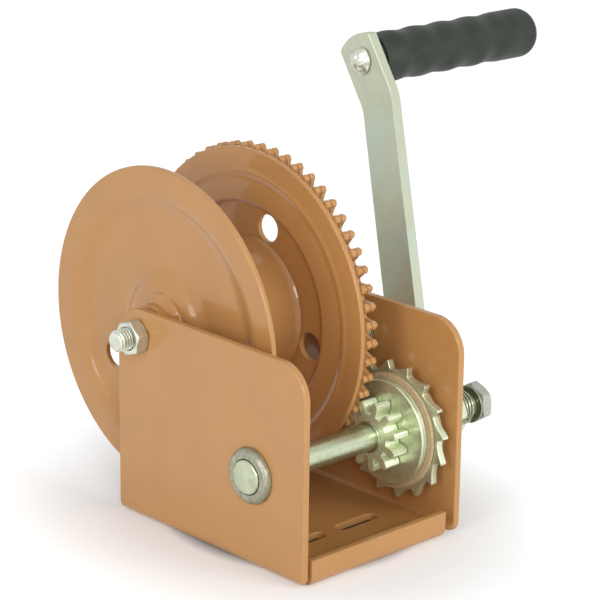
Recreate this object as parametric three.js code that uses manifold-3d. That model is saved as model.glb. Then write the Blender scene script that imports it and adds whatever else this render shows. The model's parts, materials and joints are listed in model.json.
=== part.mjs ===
// Hand winch with a friction brake, in millimetres, +Z up.
// X runs along the shafts towards the crank, Y towards the back, and the origin is at the
// underside of the base, midway between the side plates and midway from front to back.
import * as THREE from 'three';
import { mergeVertices } from 'three/addons/utils/BufferGeometryUtils.js';
import Module from 'manifold-3d';

const wasm = await Module();
wasm.setup();

// Clearances
const SEAT = 0.3;
const TURN = 0.3;
const TOOTH_PLAY = 0.3;
const OVERRUN = 1;
const WELD = 0.0001;

// Frame: one bent sheet, as deep and as high as its two shafts need
const FRAME_W = 112;
const SHAFT_TO_FRONT = 37.2;
const AXLE_TO_BACK = 16.3;
const AXLE_TO_TOP = 12.5;
const DRUM_OVER_BASE = 9.5;
const SHEET = 4;
const SIDE_BEND_IN = 2;
const TOP_ROUND = 18;
const FRONT_ROUND = 5.5;
const BACK_ROUND = 4;
const LIP_H = 14;
const LIP_OUT = 1;
const LIP_BEND_IN = 1;
const LIP_FROM_LEFT = 5.8;
const LIP_FROM_RIGHT = 11.2;
const NOTCH_FROM_SIDE = 4.4;
const NOTCH_DEEP = 6;
const SLOT_L = 28;
const SLOT_W = 7;
const SLOT_SIDE = 18.5;
const SLOT_BACK = 38;
const REAR_HOLE_R = 5.5;
const REAR_HOLE_TO_SIDE = 28;
const REAR_HOLE_TO_BACK = 22;

// Gear pair, which also sets how far the two shafts are apart
const MODULE = 3;
const GEAR_TEETH = 56;
const PINION_TEETH = 11;
const PRESSURE_ANGLE = 25;
const GEAR_ADDENDUM_SHARE = 1;
const PINION_ADDENDUM_SHARE = 0.77;
const TIP_PLAY_SHARE = 0.27;
const GEAR_PHASE = 0.8;
const GEAR_PLATE_T = 3.4;
const GEAR_BORE_PLAY = 1;
const PINION_W = 10.3;
const SHAFT_LEAN = 30.6;
const GEAR_FLANK_SHARES = [0, 1];
const PINION_FLANK_SHARES = [0, 0.5, 1];

// Drum
const FLANGE_T = 3.2;
const FLANGE_LEFT_IN = 2.2;
const FLANGE_RIGHT_IN = 1.6;
const FLANGE_GAP = 10.4;
const PRESS_BEND = 4;
const BEND_SHARE = 0.4;
const LEFT_WEB_R = 64.5;
const LEFT_STEP = 5.3;
const LEFT_WEB_DEEP = 4.6;
const BOSS_FOOT_R = 31.2;
const BOSS_STEP = 7.6;
const BOSS_H = 4.4;
const RIGHT_WEB_R = 56.4;
const RIGHT_STEP = 2;
const RIB_SLOPE = 14.1;
const RIB_H = 1.3;
const RIGHT_WEB_DEEP = 3.5;
const ROPE_HOLE_R = 7.3;
const ROPE_HOLE_GAP = 3.2;
const ROPE_HOLE_ANGLE = -29.8;
const WEB_HOLES = 4;
const WEB_HOLE_R = 7.3;
const WEB_HOLE_GAP = 0.6;
const WEB_HOLE_ANGLE = 14.7;
const CORE_R = 35.5;
const CORE_FILLET = 3.2;
const CORE_WALL = 4;
const HUB_R = 14.5;
const HUB_WALL = 4;
const HUB_STANDOUT = 2.9;
const BUSH_L = 22;

// Drum axle
const AXLE_R = 5.7;
const AXLE_BORE_PLAY = 0.4;
const AXLE_TIP = 15.7;
const AXLE_TIP_BEVEL = 1;
const AXLE_HEAD_AF = 18;
const AXLE_HEAD_H = 7.5;
const AXLE_NUT_AF = 16.5;
const AXLE_NUT_H = 7.6;
const AXLE_NUT_TURN = 44;
const AXLE_WASHER_R = 12;
const AXLE_WASHER_T = 1.6;
const LEFT_SPACER_R = 11.5;
const LEFT_SPACER_T = 3;
const RIGHT_SPACER_R = 10;
const HEX_BEVEL = 1;

// Pinion shaft and brake
const SHAFT_R = 7.05;
const JOURNAL_STEP = 1.85;
const JOURNAL_OUT = 4.6;
const JOURNAL_IN = 2;
const JOURNAL_BEVEL = 0.6;
const THREAD_STEP = 0.45;
const THREAD_FROM_PLATE = 3;
const SHAFT_TIP_OUT = 3.2;
const BUSH_WALL = 2.3;
const BUSH_RIM = 3.3;
const BUSH_FLANGE_T = 3.5;
const BUSH_BEVEL = 0.9;
const PRESS_FLANGE_R = 27.9;
const PRESS_FLANGE_T = 3.4;
const PRESS_FLANGE_BEVEL = 0.6;
const LINING_R = 30.9;
const LINING_T = 2;
const RATCHET_T = 4;
const RATCHET_TEETH = 16;
const RATCHET_R = 36.9;
const RATCHET_TOOTH_H = 4.6;
const RATCHET_PHASE = 16.2;
const RATCHET_CREST = 1.8;
const RATCHET_FACE_LEAN = 2;
const RATCHET_BUSH_R = 11;
const PRESSURE_PLATE_R = 26;
const PRESSURE_PLATE_T = 2.4;
const PLATE_PLAY = 0.6;

// Pawl
const PAWL_BACK = 30;
const PAWL_UP = 42.8;
const PAWL_BOSS_R = 8;
const PAWL_NOSE_W = 4.2;
const PAWL_NOSE_IN = 0.85;
const PAWL_NOSE_SEAT = 0.4;
const PAWL_KNEE_GAP = 1.2;
const PAWL_REST_LIFT = 8;
const PAWL_BOLT_R = 3;
const PAWL_HEAD_AF = 10;
const PAWL_HEAD_H = 4;
const PAWL_NUT_H = 5;
const PAWL_THREAD_OUT = 2;
const PAWL_SLEEVE_R = 5;
const PAWL_WIRE_R = 0.5;
const PAWL_COIL_PLAY = 0.8;
const PAWL_CURLS = 2;
const PAWL_LEG = 9;
const PAWL_TURN_IN = 0.8;

// Crank
const CRANK_LEAN = 31.8;
const CRANK_THROW = 197.8;
const BAR_W = 25.6;
const BAR_T = 6.5;
const BAR_GAP = 9.2;
const BAR_LOW_BEND = 20;
const BAR_TOP_FLAT = 24.3;
const BAR_OFFSET = 53.7;
const BAR_TOP = 14.7;
const BAR_TOP_R = 24;
const BAR_BEND_R = 9;
const HUB_SLEEVE_R = 13.5;
const HUB_NECK_R = 9;
const COLLAR_L = 14;
const HUB_BEVEL = 0.8;
const RIGHT_BUSH_WALL = 2.5;
const RIGHT_BUSH_FLANGE_R = 19;
const RIGHT_BUSH_FLANGE_T = 1.7;
const WIRE_R = 0.85;
const COIL_PLAY = 0.7;
const CURLS = 4.5;
const CURL_GAP = 0.45;
const COIL_LEG_DROP = 8;
const COIL_TURN_IN = 1.4;
const SPRING_WASHER_RIM = 1.3;
const SPRING_WASHER_T = 1.2;
const CRANK_NUT_AF = 20;
const CRANK_NUT_H = 7.2;
const CRANK_NUT_TURN = 26;

// Grip
const PIN_R = 5;
const PIN_HEAD_R = 7.8;
const PIN_HEAD_H = 2.4;
const PIN_HEAD_BEVEL = 1.4;
const GRIP_WASHER_R = 12.2;
const GRIP_WASHER_T = 1.5;
const GRIP_L = 126.5;
const GRIP_R = 13.9;
const GRIP_WAVE = 0.45;
const GRIP_WAVES = 4;
const GRIP_WAVE_L = 21.8;
const GRIP_END_ROUND = 8;
const GRIP_START_ROUND = 1.2;
const GRIP_WALL_END = 9;

// Counts of facets
const FACETS_LARGE = 40;
const FACETS = 24;
const FACETS_SMALL = 20;
const ARC_STEPS = 5;
const WAVE_STEPS = 4;
const BEND_STEPS = 2;
const SHEET_BEND_STEPS = 1;
const CURL_STEPS = 8;
const WIRE_SIDES = 5;

// Gear sizes and the two shafts' places
const centreDistance = (MODULE * (GEAR_TEETH + PINION_TEETH)) / 2;
const gearTipR = (MODULE * GEAR_TEETH) / 2 + MODULE * GEAR_ADDENDUM_SHARE;
const pinionTipR = (MODULE * PINION_TEETH) / 2 + MODULE * PINION_ADDENDUM_SHARE;
const tipPlay = MODULE * TIP_PLAY_SHARE;
const gearRootR = centreDistance - pinionTipR - tipPlay;
const pinionRootR = centreDistance - gearTipR - tipPlay;
const lean = THREE.MathUtils.degToRad(SHAFT_LEAN);
const frameDepth = SHAFT_TO_FRONT + centreDistance * Math.cos(lean) + AXLE_TO_BACK;
const front = -frameDepth / 2;
const back = frameDepth / 2;
const shaftBack = front + SHAFT_TO_FRONT;
const drumBack = back - AXLE_TO_BACK;
const drumUp = SHEET + DRUM_OVER_BASE + gearTipR;
const shaftUp = drumUp - centreDistance * Math.sin(lean);
const frameTop = drumUp + AXLE_TO_TOP;
const leftOut = -FRAME_W / 2;
const leftIn = leftOut + SHEET;
const rightOut = FRAME_W / 2;
const rightIn = rightOut - SHEET;

// Radii that follow from what they hold
const journalR = SHAFT_R + JOURNAL_STEP;
const threadR = SHAFT_R - THREAD_STEP;
const leftBushR = journalR + TURN + BUSH_WALL;
const rightBushBoreR = HUB_SLEEVE_R + TURN;
const rightBushR = rightBushBoreR + RIGHT_BUSH_WALL;
const ratchetRootR = RATCHET_R - RATCHET_TOOTH_H;
const coilR = threadR + COIL_PLAY + WIRE_R;
const curlPitch = 2 * WIRE_R + CURL_GAP;
const pawlCoilR = PAWL_SLEEVE_R + PAWL_COIL_PLAY + PAWL_WIRE_R;
const pawlPitch = 2 * PAWL_WIRE_R + CURL_GAP;
const axleBoreR = AXLE_R + AXLE_BORE_PLAY;
const hubBoreR = HUB_R - HUB_WALL;

// Brake places along X, from the right plate inwards
const pressurePlateRight = rightIn - PLATE_PLAY;
const pressurePlateLeft = pressurePlateRight - PRESSURE_PLATE_T;
const liningRightLeft = pressurePlateLeft - SEAT - LINING_T;
const ratchetRight = liningRightLeft - SEAT;
const ratchetLeft = ratchetRight - RATCHET_T;
const liningLeftRight = ratchetLeft - SEAT;
const liningLeftLeft = liningLeftRight - LINING_T;
const pressFlangeRight = liningLeftLeft - SEAT;
const pressFlangeLeft = pressFlangeRight - PRESS_FLANGE_T;
const pinionRight = pressFlangeLeft - SEAT;
const pinionLeft = pinionRight - PINION_W;

// Drum places along X: the outer gear plate meshes with the pinion's left end
const gearOuterFace = pinionLeft + SEAT;
const gearFace = gearOuterFace - SEAT - GEAR_PLATE_T;
const rightRopeFace = gearFace - SEAT - FLANGE_T;
const rightWebFace = rightRopeFace + RIGHT_WEB_DEEP;
const rightWebBack = rightWebFace + FLANGE_T;
const leftFace = leftIn + FLANGE_GAP;
const leftRopeFace = leftFace + FLANGE_T;
const leftWebFace = leftFace + LEFT_WEB_DEEP;
const hubLeft = leftIn + SEAT + LEFT_SPACER_T + TURN;
const hubRight = rightWebBack + HUB_STANDOUT;

// Crank places along X, from the right plate outwards
const barFace = rightOut + BAR_GAP;
const barBack = barFace + BAR_T;
const gripArmFace = barFace + BAR_OFFSET;
const hubEnd = barBack + SEAT + COLLAR_L;
const barHighBend = CRANK_THROW - BAR_TOP_FLAT;
const coilStart = hubEnd + SEAT + WIRE_R;
const coilEnd = coilStart + CURLS * curlPitch;
const coilMeets = coilEnd + COIL_TURN_IN + 2 * WIRE_R;
const springWasherLeft = coilMeets + SEAT;
const crankNutLeft = springWasherLeft + SPRING_WASHER_T + SEAT;
const shaftTip = crankNutLeft + CRANK_NUT_H + SHAFT_TIP_OUT;

// Materials
const paint = { color: 0xbd7a43, roughness: 0.32, metalness: 0.1 };
const zinc = { color: 0xb7bba9, roughness: 0.35, metalness: 0.85 };
const steel = { color: 0x9b9d98, roughness: 0.4, metalness: 0.9 };
const bronze = { color: 0x8f7448, roughness: 0.5, metalness: 0.7 };
const friction = { color: 0x8a6744, roughness: 0.9, metalness: 0 };
const spring = { color: 0x6f7266, roughness: 0.35, metalness: 0.9 };
const plastic = { color: 0x17181a, roughness: 0.6, metalness: 0 };

// Shapes and solids

// A closed mesh with shared corners and no collapsed triangles.
function welded(geometry) {
  geometry.deleteAttribute('normal');
  geometry.deleteAttribute('uv');
  const merged = mergeVertices(geometry, WELD);
  const corners = merged.index.array;
  const kept = [];
  for (let i = 0; i < corners.length; i += 3) {
    const [a, b, c] = [corners[i], corners[i + 1], corners[i + 2]];
    if (a !== b && b !== c && c !== a) kept.push(a, b, c);
  }
  merged.setIndex(kept);
  return merged;
}

function solid(geometry) {
  const closed = welded(geometry);
  return new wasm.Manifold(new wasm.Mesh({
    numProp: 3,
    vertProperties: new Float32Array(closed.attributes.position.array),
    triVerts: new Uint32Array(closed.index.array),
  }));
}

function geometryOf(body) {
  const mesh = body.getMesh();
  const geometry = new THREE.BufferGeometry();
  geometry.setAttribute('position', new THREE.BufferAttribute(mesh.vertProperties, 3));
  geometry.setIndex(new THREE.BufferAttribute(mesh.triVerts, 1));
  return geometry;
}

// A profile of [radius, x] points turned round the X axis.
function turned(profile, facets = FACETS) {
  const points = profile.map(([r, x]) => new THREE.Vector2(r, x));
  const onAxis = points[0].x === 0 && points[points.length - 1].x === 0;
  if (THREE.ShapeUtils.area(points) < 0) points.reverse();
  if (!onAxis) points.push(points[0].clone());
  const geometry = new THREE.LatheGeometry(points, facets);
  geometry.rotateZ(-Math.PI / 2);
  return solid(geometry);
}

function rod(radius, from, to, facets = FACETS) {
  return turned([[0, from], [radius, from], [radius, to], [0, to]], facets);
}

function ring(outer, inner, from, to, facets = FACETS) {
  return turned([[inner, from], [outer, from], [outer, to], [inner, to]], facets);
}

// A ring with its outer edge bevelled at the faces named.
function bevelledRing(outer, inner, from, to, bevelFrom, bevelTo, facets = FACETS) {
  return turned([
    [inner, from], [outer - bevelFrom, from], [outer, from + bevelFrom],
    [outer, to - bevelTo], [outer - bevelTo, to], [inner, to],
  ], facets);
}

// An outline in the YZ plane drawn out along X.
function alongX(shape, from, to) {
  const geometry = new THREE.ExtrudeGeometry(shape, {
    depth: to - from,
    bevelEnabled: false,
    curveSegments: ARC_STEPS,
  });
  const axes = new THREE.Matrix4().makeBasis(
    new THREE.Vector3(0, 1, 0), new THREE.Vector3(0, 0, 1), new THREE.Vector3(1, 0, 0),
  );
  geometry.applyMatrix4(axes);
  geometry.translate(from, 0, 0);
  return solid(geometry);
}

// An outline in the XZ plane drawn out along Y.
function alongY(shape, from, to) {
  const geometry = new THREE.ExtrudeGeometry(shape, {
    depth: to - from,
    bevelEnabled: false,
    curveSegments: ARC_STEPS,
  });
  geometry.rotateX(Math.PI / 2);
  geometry.translate(0, to, 0);
  return solid(geometry);
}

function alongZ(shape, from, to) {
  const geometry = new THREE.ExtrudeGeometry(shape, {
    depth: to - from,
    bevelEnabled: false,
    curveSegments: ARC_STEPS,
  });
  geometry.translate(0, 0, from);
  return solid(geometry);
}

function block(x0, x1, y0, y1, z0, z1) {
  const geometry = new THREE.BoxGeometry(x1 - x0, y1 - y0, z1 - z0);
  geometry.translate((x0 + x1) / 2, (y0 + y1) / 2, (z0 + z1) / 2);
  return solid(geometry);
}

function polygon(points) {
  return new THREE.Shape(points.map(([u, v]) => new THREE.Vector2(u, v)));
}

function onCircle(radius, degrees) {
  const angle = THREE.MathUtils.degToRad(degrees);
  return [radius * Math.cos(angle), radius * Math.sin(angle)];
}

// A hexagon nut or head round the X axis, with its outer corners bevelled.
function hexagon(acrossFlats, from, to, turn, bore) {
  const cornerR = acrossFlats / Math.sqrt(3);
  const corners = [];
  for (let i = 0; i < 6; i += 1) corners.push(onCircle(cornerR, turn + i * 60));
  const body = alongX(polygon(corners), from, to);
  const envelope = bevelledRing(cornerR, 0, from, to, HEX_BEVEL, HEX_BEVEL, FACETS_SMALL);
  const shaped = body.intersect(envelope);
  return bore > 0 ? shaped.subtract(rod(bore, from - OVERRUN, to + OVERRUN, FACETS_SMALL)) : shaped;
}

// Replaces each inner corner of a path of [u, v] points by a short curve.
function softened(points, radius) {
  const path = points.map(([u, v]) => new THREE.Vector2(u, v));
  const soft = [path[0]];
  for (let i = 1; i < path.length - 1; i += 1) {
    const before = path[i - 1].clone().sub(path[i]);
    const after = path[i + 1].clone().sub(path[i]);
    const half = Math.abs(before.angleTo(after)) / 2;
    const room = BEND_SHARE * Math.min(before.length(), after.length());
    const cut = Math.min(radius / Math.tan(half), room);
    const start = path[i].clone().addScaledVector(before.normalize(), cut);
    const end = path[i].clone().addScaledVector(after.normalize(), cut);
    const curve = new THREE.QuadraticBezierCurve(start, path[i], end);
    soft.push(...curve.getPoints(SHEET_BEND_STEPS));
  }
  soft.push(path[path.length - 1]);
  return soft;
}

// The closed profile of a sheet of even thickness, laid against one side of a path.
function sheetOver(path, thickness) {
  const other = path.map((point, i) => {
    const into = path[Math.max(i - 1, 0)];
    const out = path[Math.min(i + 1, path.length - 1)];
    const first = (i === 0 ? out.clone().sub(point) : point.clone().sub(into)).normalize();
    const second = (i === path.length - 1 ? first.clone() : out.clone().sub(point)).normalize();
    const normal = new THREE.Vector2(first.y + second.y, -first.x - second.x).normalize();
    const square = new THREE.Vector2(first.y, -first.x);
    return point.clone().addScaledVector(normal, thickness / normal.dot(square));
  });
  return [...path, ...other.reverse()].map((point) => [point.x, point.y]);
}

// An outline of involute teeth on a gear that turns round the X axis.
function toothedOutline(teeth, tipR, rootR, phase, flankShares) {
  const pitchR = (MODULE * teeth) / 2;
  const pressure = THREE.MathUtils.degToRad(PRESSURE_ANGLE);
  const baseR = pitchR * Math.cos(pressure);
  const involute = (angle) => Math.tan(angle) - angle;
  const pitchHalf = Math.PI / (2 * teeth) - TOOTH_PLAY / (2 * pitchR);
  const halfAngle = (radius) => {
    const angle = Math.acos(Math.min(1, baseR / Math.max(radius, baseR)));
    return pitchHalf + involute(pressure) - involute(angle);
  };
  const flankFoot = Math.max(baseR, rootR);
  const radii = flankShares.map((share) => THREE.MathUtils.lerp(flankFoot, tipR, share));
  if (rootR < baseR) radii.unshift(rootR);
  const points = [];
  for (let i = 0; i < teeth; i += 1) {
    const middle = phase + (i * 2 * Math.PI) / teeth;
    for (const radius of radii) {
      const angle = middle - halfAngle(radius);
      points.push([radius * Math.cos(angle), radius * Math.sin(angle)]);
    }
    for (const radius of [...radii].reverse()) {
      const angle = middle + halfAngle(radius);
      points.push([radius * Math.cos(angle), radius * Math.sin(angle)]);
    }
  }
  return polygon(points);
}

// A round wire drawn along a list of points, in one closed tube.
function wire(points, radius) {
  const count = points.length;
  const positions = [];
  const side = new THREE.Vector3();
  const directions = points.map((point, i) => {
    const ahead = points[Math.min(i + 1, count - 1)];
    const behind = points[Math.max(i - 1, 0)];
    return ahead.clone().sub(behind).normalize();
  });
  side.crossVectors(directions[0], new THREE.Vector3(0, 1, 0)).normalize();
  points.forEach((point, i) => {
    side.addScaledVector(directions[i], -side.dot(directions[i])).normalize();
    const across = new THREE.Vector3().crossVectors(directions[i], side);
    for (let k = 0; k < WIRE_SIDES; k += 1) {
      const angle = (k * 2 * Math.PI) / WIRE_SIDES;
      const corner = point.clone()
        .addScaledVector(side, radius * Math.cos(angle))
        .addScaledVector(across, radius * Math.sin(angle));
      positions.push(corner.x, corner.y, corner.z);
    }
  });
  const index = [];
  for (let i = 0; i < count - 1; i += 1) {
    for (let k = 0; k < WIRE_SIDES; k += 1) {
      const a = i * WIRE_SIDES + k;
      const b = i * WIRE_SIDES + ((k + 1) % WIRE_SIDES);
      index.push(a, b, b + WIRE_SIDES, a, b + WIRE_SIDES, a + WIRE_SIDES);
    }
  }
  const last = (count - 1) * WIRE_SIDES;
  for (let k = 1; k < WIRE_SIDES - 1; k += 1) {
    index.push(0, k + 1, k);
    index.push(last, last + k, last + k + 1);
  }
  const geometry = new THREE.BufferGeometry();
  geometry.setAttribute('position', new THREE.Float32BufferAttribute(positions, 3));
  geometry.setIndex(index);
  return geometry;
}

// The points of a coil round the X axis, from a start angle, turning the way that turn says.
function coilPoints(radius, from, pitch, curls, startDegrees, turn) {
  const points = [];
  const steps = Math.round(curls * CURL_STEPS);
  for (let i = 0; i <= steps; i += 1) {
    const [y, z] = onCircle(radius, startDegrees + (turn * 360 * i) / CURL_STEPS);
    points.push(new THREE.Vector3(from + (pitch * i) / CURL_STEPS, y, z));
  }
  return points;
}

// The least gap of a wire to itself, leaving out neighbours along its own length.
function leastGap(points, radius, skip) {
  let least = Infinity;
  for (let i = 0; i < points.length; i += 1) {
    for (let j = i + skip; j < points.length; j += 1) {
      least = Math.min(least, points[i].distanceTo(points[j]) - 2 * radius);
    }
  }
  return least;
}

// The object and its two shaft groups
const winch = new THREE.Group();
const drumGroup = new THREE.Group();
drumGroup.position.set(0, drumBack, drumUp);
const shaftGroup = new THREE.Group();
shaftGroup.position.set(0, shaftBack, shaftUp);
const crankGroup = new THREE.Group();
crankGroup.rotation.x = -THREE.MathUtils.degToRad(CRANK_LEAN);
const gripGroup = new THREE.Group();
gripGroup.position.set(0, 0, CRANK_THROW);
const pawlGroup = new THREE.Group();
pawlGroup.position.set(0, PAWL_BACK, PAWL_UP);
winch.add(drumGroup, shaftGroup);
shaftGroup.add(crankGroup, pawlGroup);
crankGroup.add(gripGroup);

function add(group, name, geometry, finish) {
  geometry.computeVertexNormals();
  const mesh = new THREE.Mesh(geometry, new THREE.MeshStandardMaterial(finish));
  mesh.name = name;
  group.add(mesh);
}

function addSolid(group, name, body, finish) {
  add(group, name, geometryOf(body), finish);
}

// Side frame: a channel with rounded plates, a front lip, slots and bearing holes

function sideOutline() {
  const shape = new THREE.Shape();
  shape.moveTo(front + FRONT_ROUND, 0);
  shape.lineTo(back - BACK_ROUND, 0);
  shape.absarc(back - BACK_ROUND, BACK_ROUND, BACK_ROUND, -Math.PI / 2, 0);
  shape.absarc(back - TOP_ROUND, frameTop - TOP_ROUND, TOP_ROUND, 0, Math.PI / 2);
  shape.absarc(front + TOP_ROUND, frameTop - TOP_ROUND, TOP_ROUND, Math.PI / 2, Math.PI);
  shape.absarc(front + FRONT_ROUND, FRONT_ROUND, FRONT_ROUND, Math.PI, 1.5 * Math.PI);
  return shape;
}

function channelOutline() {
  const inner = SIDE_BEND_IN;
  const outer = SHEET + inner;
  const shape = new THREE.Shape();
  shape.moveTo(leftOut + outer, 0);
  shape.absarc(rightOut - outer, outer, outer, -Math.PI / 2, 0);
  shape.lineTo(rightOut, frameTop);
  shape.lineTo(rightIn, frameTop);
  shape.absarc(rightIn - inner, SHEET + inner, inner, 0, -Math.PI / 2, true);
  shape.absarc(leftIn + inner, SHEET + inner, inner, -Math.PI / 2, -Math.PI, true);
  shape.lineTo(leftIn, frameTop);
  shape.lineTo(leftOut, frameTop);
  shape.absarc(leftOut + outer, outer, outer, Math.PI, 1.5 * Math.PI);
  return shape;
}

function lipOutline() {
  const lipFront = front - LIP_OUT;
  const lipBack = lipFront + SHEET;
  const inner = LIP_BEND_IN;
  const outer = SHEET + inner;
  const shape = new THREE.Shape();
  shape.moveTo(front + NOTCH_DEEP + OVERRUN, 0);
  shape.lineTo(front + NOTCH_DEEP + OVERRUN, SHEET);
  shape.absarc(lipBack + inner, SHEET + inner, inner, 1.5 * Math.PI, Math.PI, true);
  shape.lineTo(lipBack, LIP_H);
  shape.lineTo(lipFront, LIP_H);
  shape.absarc(lipFront + outer, outer, outer, Math.PI, 1.5 * Math.PI);
  return shape;
}

// A slot with round ends, which is a round hole where its length is its width.
function slot(x, y, length, width) {
  const end = (length - width) / 2;
  const shape = new THREE.Shape();
  shape.absarc(x + end, y, width / 2, -Math.PI / 2, Math.PI / 2);
  shape.absarc(x - end, y, width / 2, Math.PI / 2, 1.5 * Math.PI);
  return alongZ(shape, -OVERRUN, SHEET + OVERRUN);
}

function crossHole(radius, y, z, from, to) {
  return rod(radius, from - OVERRUN, to + OVERRUN, FACETS_SMALL).translate([0, y, z]);
}

function sideFrame() {
  let body = alongY(channelOutline(), front - OVERRUN, back + OVERRUN);
  body = body.intersect(alongX(sideOutline(), leftOut - OVERRUN, rightOut + OVERRUN));
  body = body.subtract(block(
    leftOut + NOTCH_FROM_SIDE, rightOut - NOTCH_FROM_SIDE,
    front - OVERRUN, front + NOTCH_DEEP, -OVERRUN, LIP_H + OVERRUN,
  ));
  body = body.add(alongX(lipOutline(), leftOut + LIP_FROM_LEFT, rightOut - LIP_FROM_RIGHT));
  for (const side of [-1, 1]) {
    body = body.subtract(slot(side * SLOT_SIDE, front + SLOT_BACK, SLOT_L, SLOT_W));
    const holeSide = side * (rightOut - REAR_HOLE_TO_SIDE);
    const holeW = 2 * REAR_HOLE_R;
    body = body.subtract(slot(holeSide, back - REAR_HOLE_TO_BACK, holeW, holeW));
  }
  body = body.subtract(crossHole(AXLE_R + SEAT, drumBack, drumUp, leftOut, rightOut));
  body = body.subtract(crossHole(leftBushR + SEAT, shaftBack, shaftUp, leftOut, leftIn));
  body = body.subtract(crossHole(rightBushR + SEAT, shaftBack, shaftUp, rightIn, rightOut));
  const pawlY = shaftBack + PAWL_BACK;
  const pawlZ = shaftUp + PAWL_UP;
  return body.subtract(crossHole(PAWL_BOLT_R + SEAT, pawlY, pawlZ, rightIn, rightOut));
}

addSolid(winch, 'side_frame', sideFrame(), paint);

// Drum axle

addSolid(drumGroup, 'axle_bolt', turned([
  [0, leftOut - AXLE_TIP],
  [AXLE_R - AXLE_TIP_BEVEL, leftOut - AXLE_TIP],
  [AXLE_R, leftOut - AXLE_TIP + AXLE_TIP_BEVEL],
  [AXLE_R, rightOut + AXLE_WASHER_T + 2 * SEAT + HEX_BEVEL],
  [0, rightOut + AXLE_WASHER_T + 2 * SEAT + HEX_BEVEL],
], FACETS_SMALL).add(hexagon(
  AXLE_HEAD_AF, rightOut + AXLE_WASHER_T + 2 * SEAT,
  rightOut + AXLE_WASHER_T + 2 * SEAT + AXLE_HEAD_H, 0, 0,
)), zinc);
addSolid(drumGroup, 'axle_washer', ring(
  AXLE_WASHER_R, AXLE_R + SEAT, rightOut + SEAT, rightOut + SEAT + AXLE_WASHER_T, FACETS_SMALL,
), zinc);
addSolid(drumGroup, 'axle_nut', hexagon(
  AXLE_NUT_AF, leftOut - SEAT - AXLE_NUT_H, leftOut - SEAT, AXLE_NUT_TURN, AXLE_R + SEAT,
), zinc);
addSolid(drumGroup, 'axle_spacer_left', ring(
  LEFT_SPACER_R, AXLE_R + SEAT, leftIn + SEAT, leftIn + SEAT + LEFT_SPACER_T, FACETS_SMALL,
), zinc);
addSolid(drumGroup, 'axle_spacer_right', ring(
  RIGHT_SPACER_R, AXLE_R + SEAT, hubRight + TURN, rightIn - SEAT, FACETS_SMALL,
), zinc);

// Drum

addSolid(drumGroup, 'drum_hub', bevelledRing(
  HUB_R, hubBoreR, hubLeft, hubRight, HEX_BEVEL, HEX_BEVEL, FACETS,
), paint);
addSolid(drumGroup, 'drum_bush_left', ring(
  hubBoreR - SEAT, axleBoreR, hubLeft, hubLeft + BUSH_L, FACETS_SMALL,
), bronze);
addSolid(drumGroup, 'drum_bush_right', ring(
  hubBoreR - SEAT, axleBoreR, hubRight - BUSH_L, hubRight, FACETS_SMALL,
), bronze);

function flangeLeft() {
  const face = softened([
    [gearTipR - FLANGE_LEFT_IN, leftFace],
    [LEFT_WEB_R + LEFT_STEP, leftFace],
    [LEFT_WEB_R, leftWebFace],
    [BOSS_FOOT_R, leftWebFace],
    [BOSS_FOOT_R - BOSS_STEP, leftWebFace - BOSS_H],
    [HUB_R + SEAT, leftWebFace - BOSS_H],
  ], PRESS_BEND);
  const holeAt = CORE_R + CORE_FILLET + ROPE_HOLE_GAP + ROPE_HOLE_R;
  const [y, z] = onCircle(holeAt, ROPE_HOLE_ANGLE);
  return turned(sheetOver(face, FLANGE_T), FACETS_LARGE)
    .subtract(crossHole(ROPE_HOLE_R, y, z, leftFace, rightRopeFace));
}

function flangeRight() {
  const ribTopR = RIGHT_WEB_R + RIGHT_STEP;
  const holeAt = CORE_R + CORE_FILLET + WEB_HOLE_GAP + WEB_HOLE_R;
  const face = softened([
    [gearTipR - FLANGE_RIGHT_IN, rightRopeFace],
    [ribTopR + RIB_SLOPE, rightRopeFace],
    [ribTopR, rightRopeFace - RIB_H],
    [RIGHT_WEB_R, rightWebFace],
    [HUB_R + SEAT, rightWebFace],
  ], PRESS_BEND);
  let body = turned(sheetOver(face, FLANGE_T), FACETS_LARGE);
  for (let i = 0; i < WEB_HOLES; i += 1) {
    const [y, z] = onCircle(holeAt, WEB_HOLE_ANGLE + (i * 360) / WEB_HOLES);
    body = body.subtract(crossHole(WEB_HOLE_R, y, z, leftRopeFace, rightWebBack));
  }
  return body;
}

function core() {
  const from = leftWebFace + FLANGE_T + SEAT;
  const to = rightWebFace - SEAT;
  const bore = CORE_R - CORE_WALL;
  const fillet = (share) => {
    const [u, v] = onCircle(CORE_FILLET, 90 * share);
    return [CORE_R + CORE_FILLET - u, CORE_FILLET - v];
  };
  const profile = [[bore, from]];
  for (let i = BEND_STEPS; i >= 0; i -= 1) {
    const [r, x] = fillet(i / BEND_STEPS);
    profile.push([r, from + x]);
  }
  for (let i = 0; i <= BEND_STEPS; i += 1) {
    const [r, x] = fillet(i / BEND_STEPS);
    profile.push([r, to - x]);
  }
  profile.push([bore, to]);
  return turned(profile, FACETS_LARGE);
}

addSolid(drumGroup, 'drum_flange_left', flangeLeft(), paint);
addSolid(drumGroup, 'drum_core', core(), paint);
addSolid(drumGroup, 'drum_flange_right', flangeRight(), paint);

// Gear pair, in mesh where the line of centres crosses both pitch circles

const gearPhase = THREE.MathUtils.degToRad(GEAR_PHASE);
const gearPitchAngle = (2 * Math.PI) / GEAR_TEETH;
const towardsPinion = Math.PI + lean;
const gapsToPinion = Math.round((towardsPinion - gearPhase) / gearPitchAngle - 0.5) + 0.5;
const gapMissBy = gearPhase + gapsToPinion * gearPitchAngle - towardsPinion;
const pinionPhase = lean - (gapMissBy * GEAR_TEETH) / PINION_TEETH;

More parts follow.
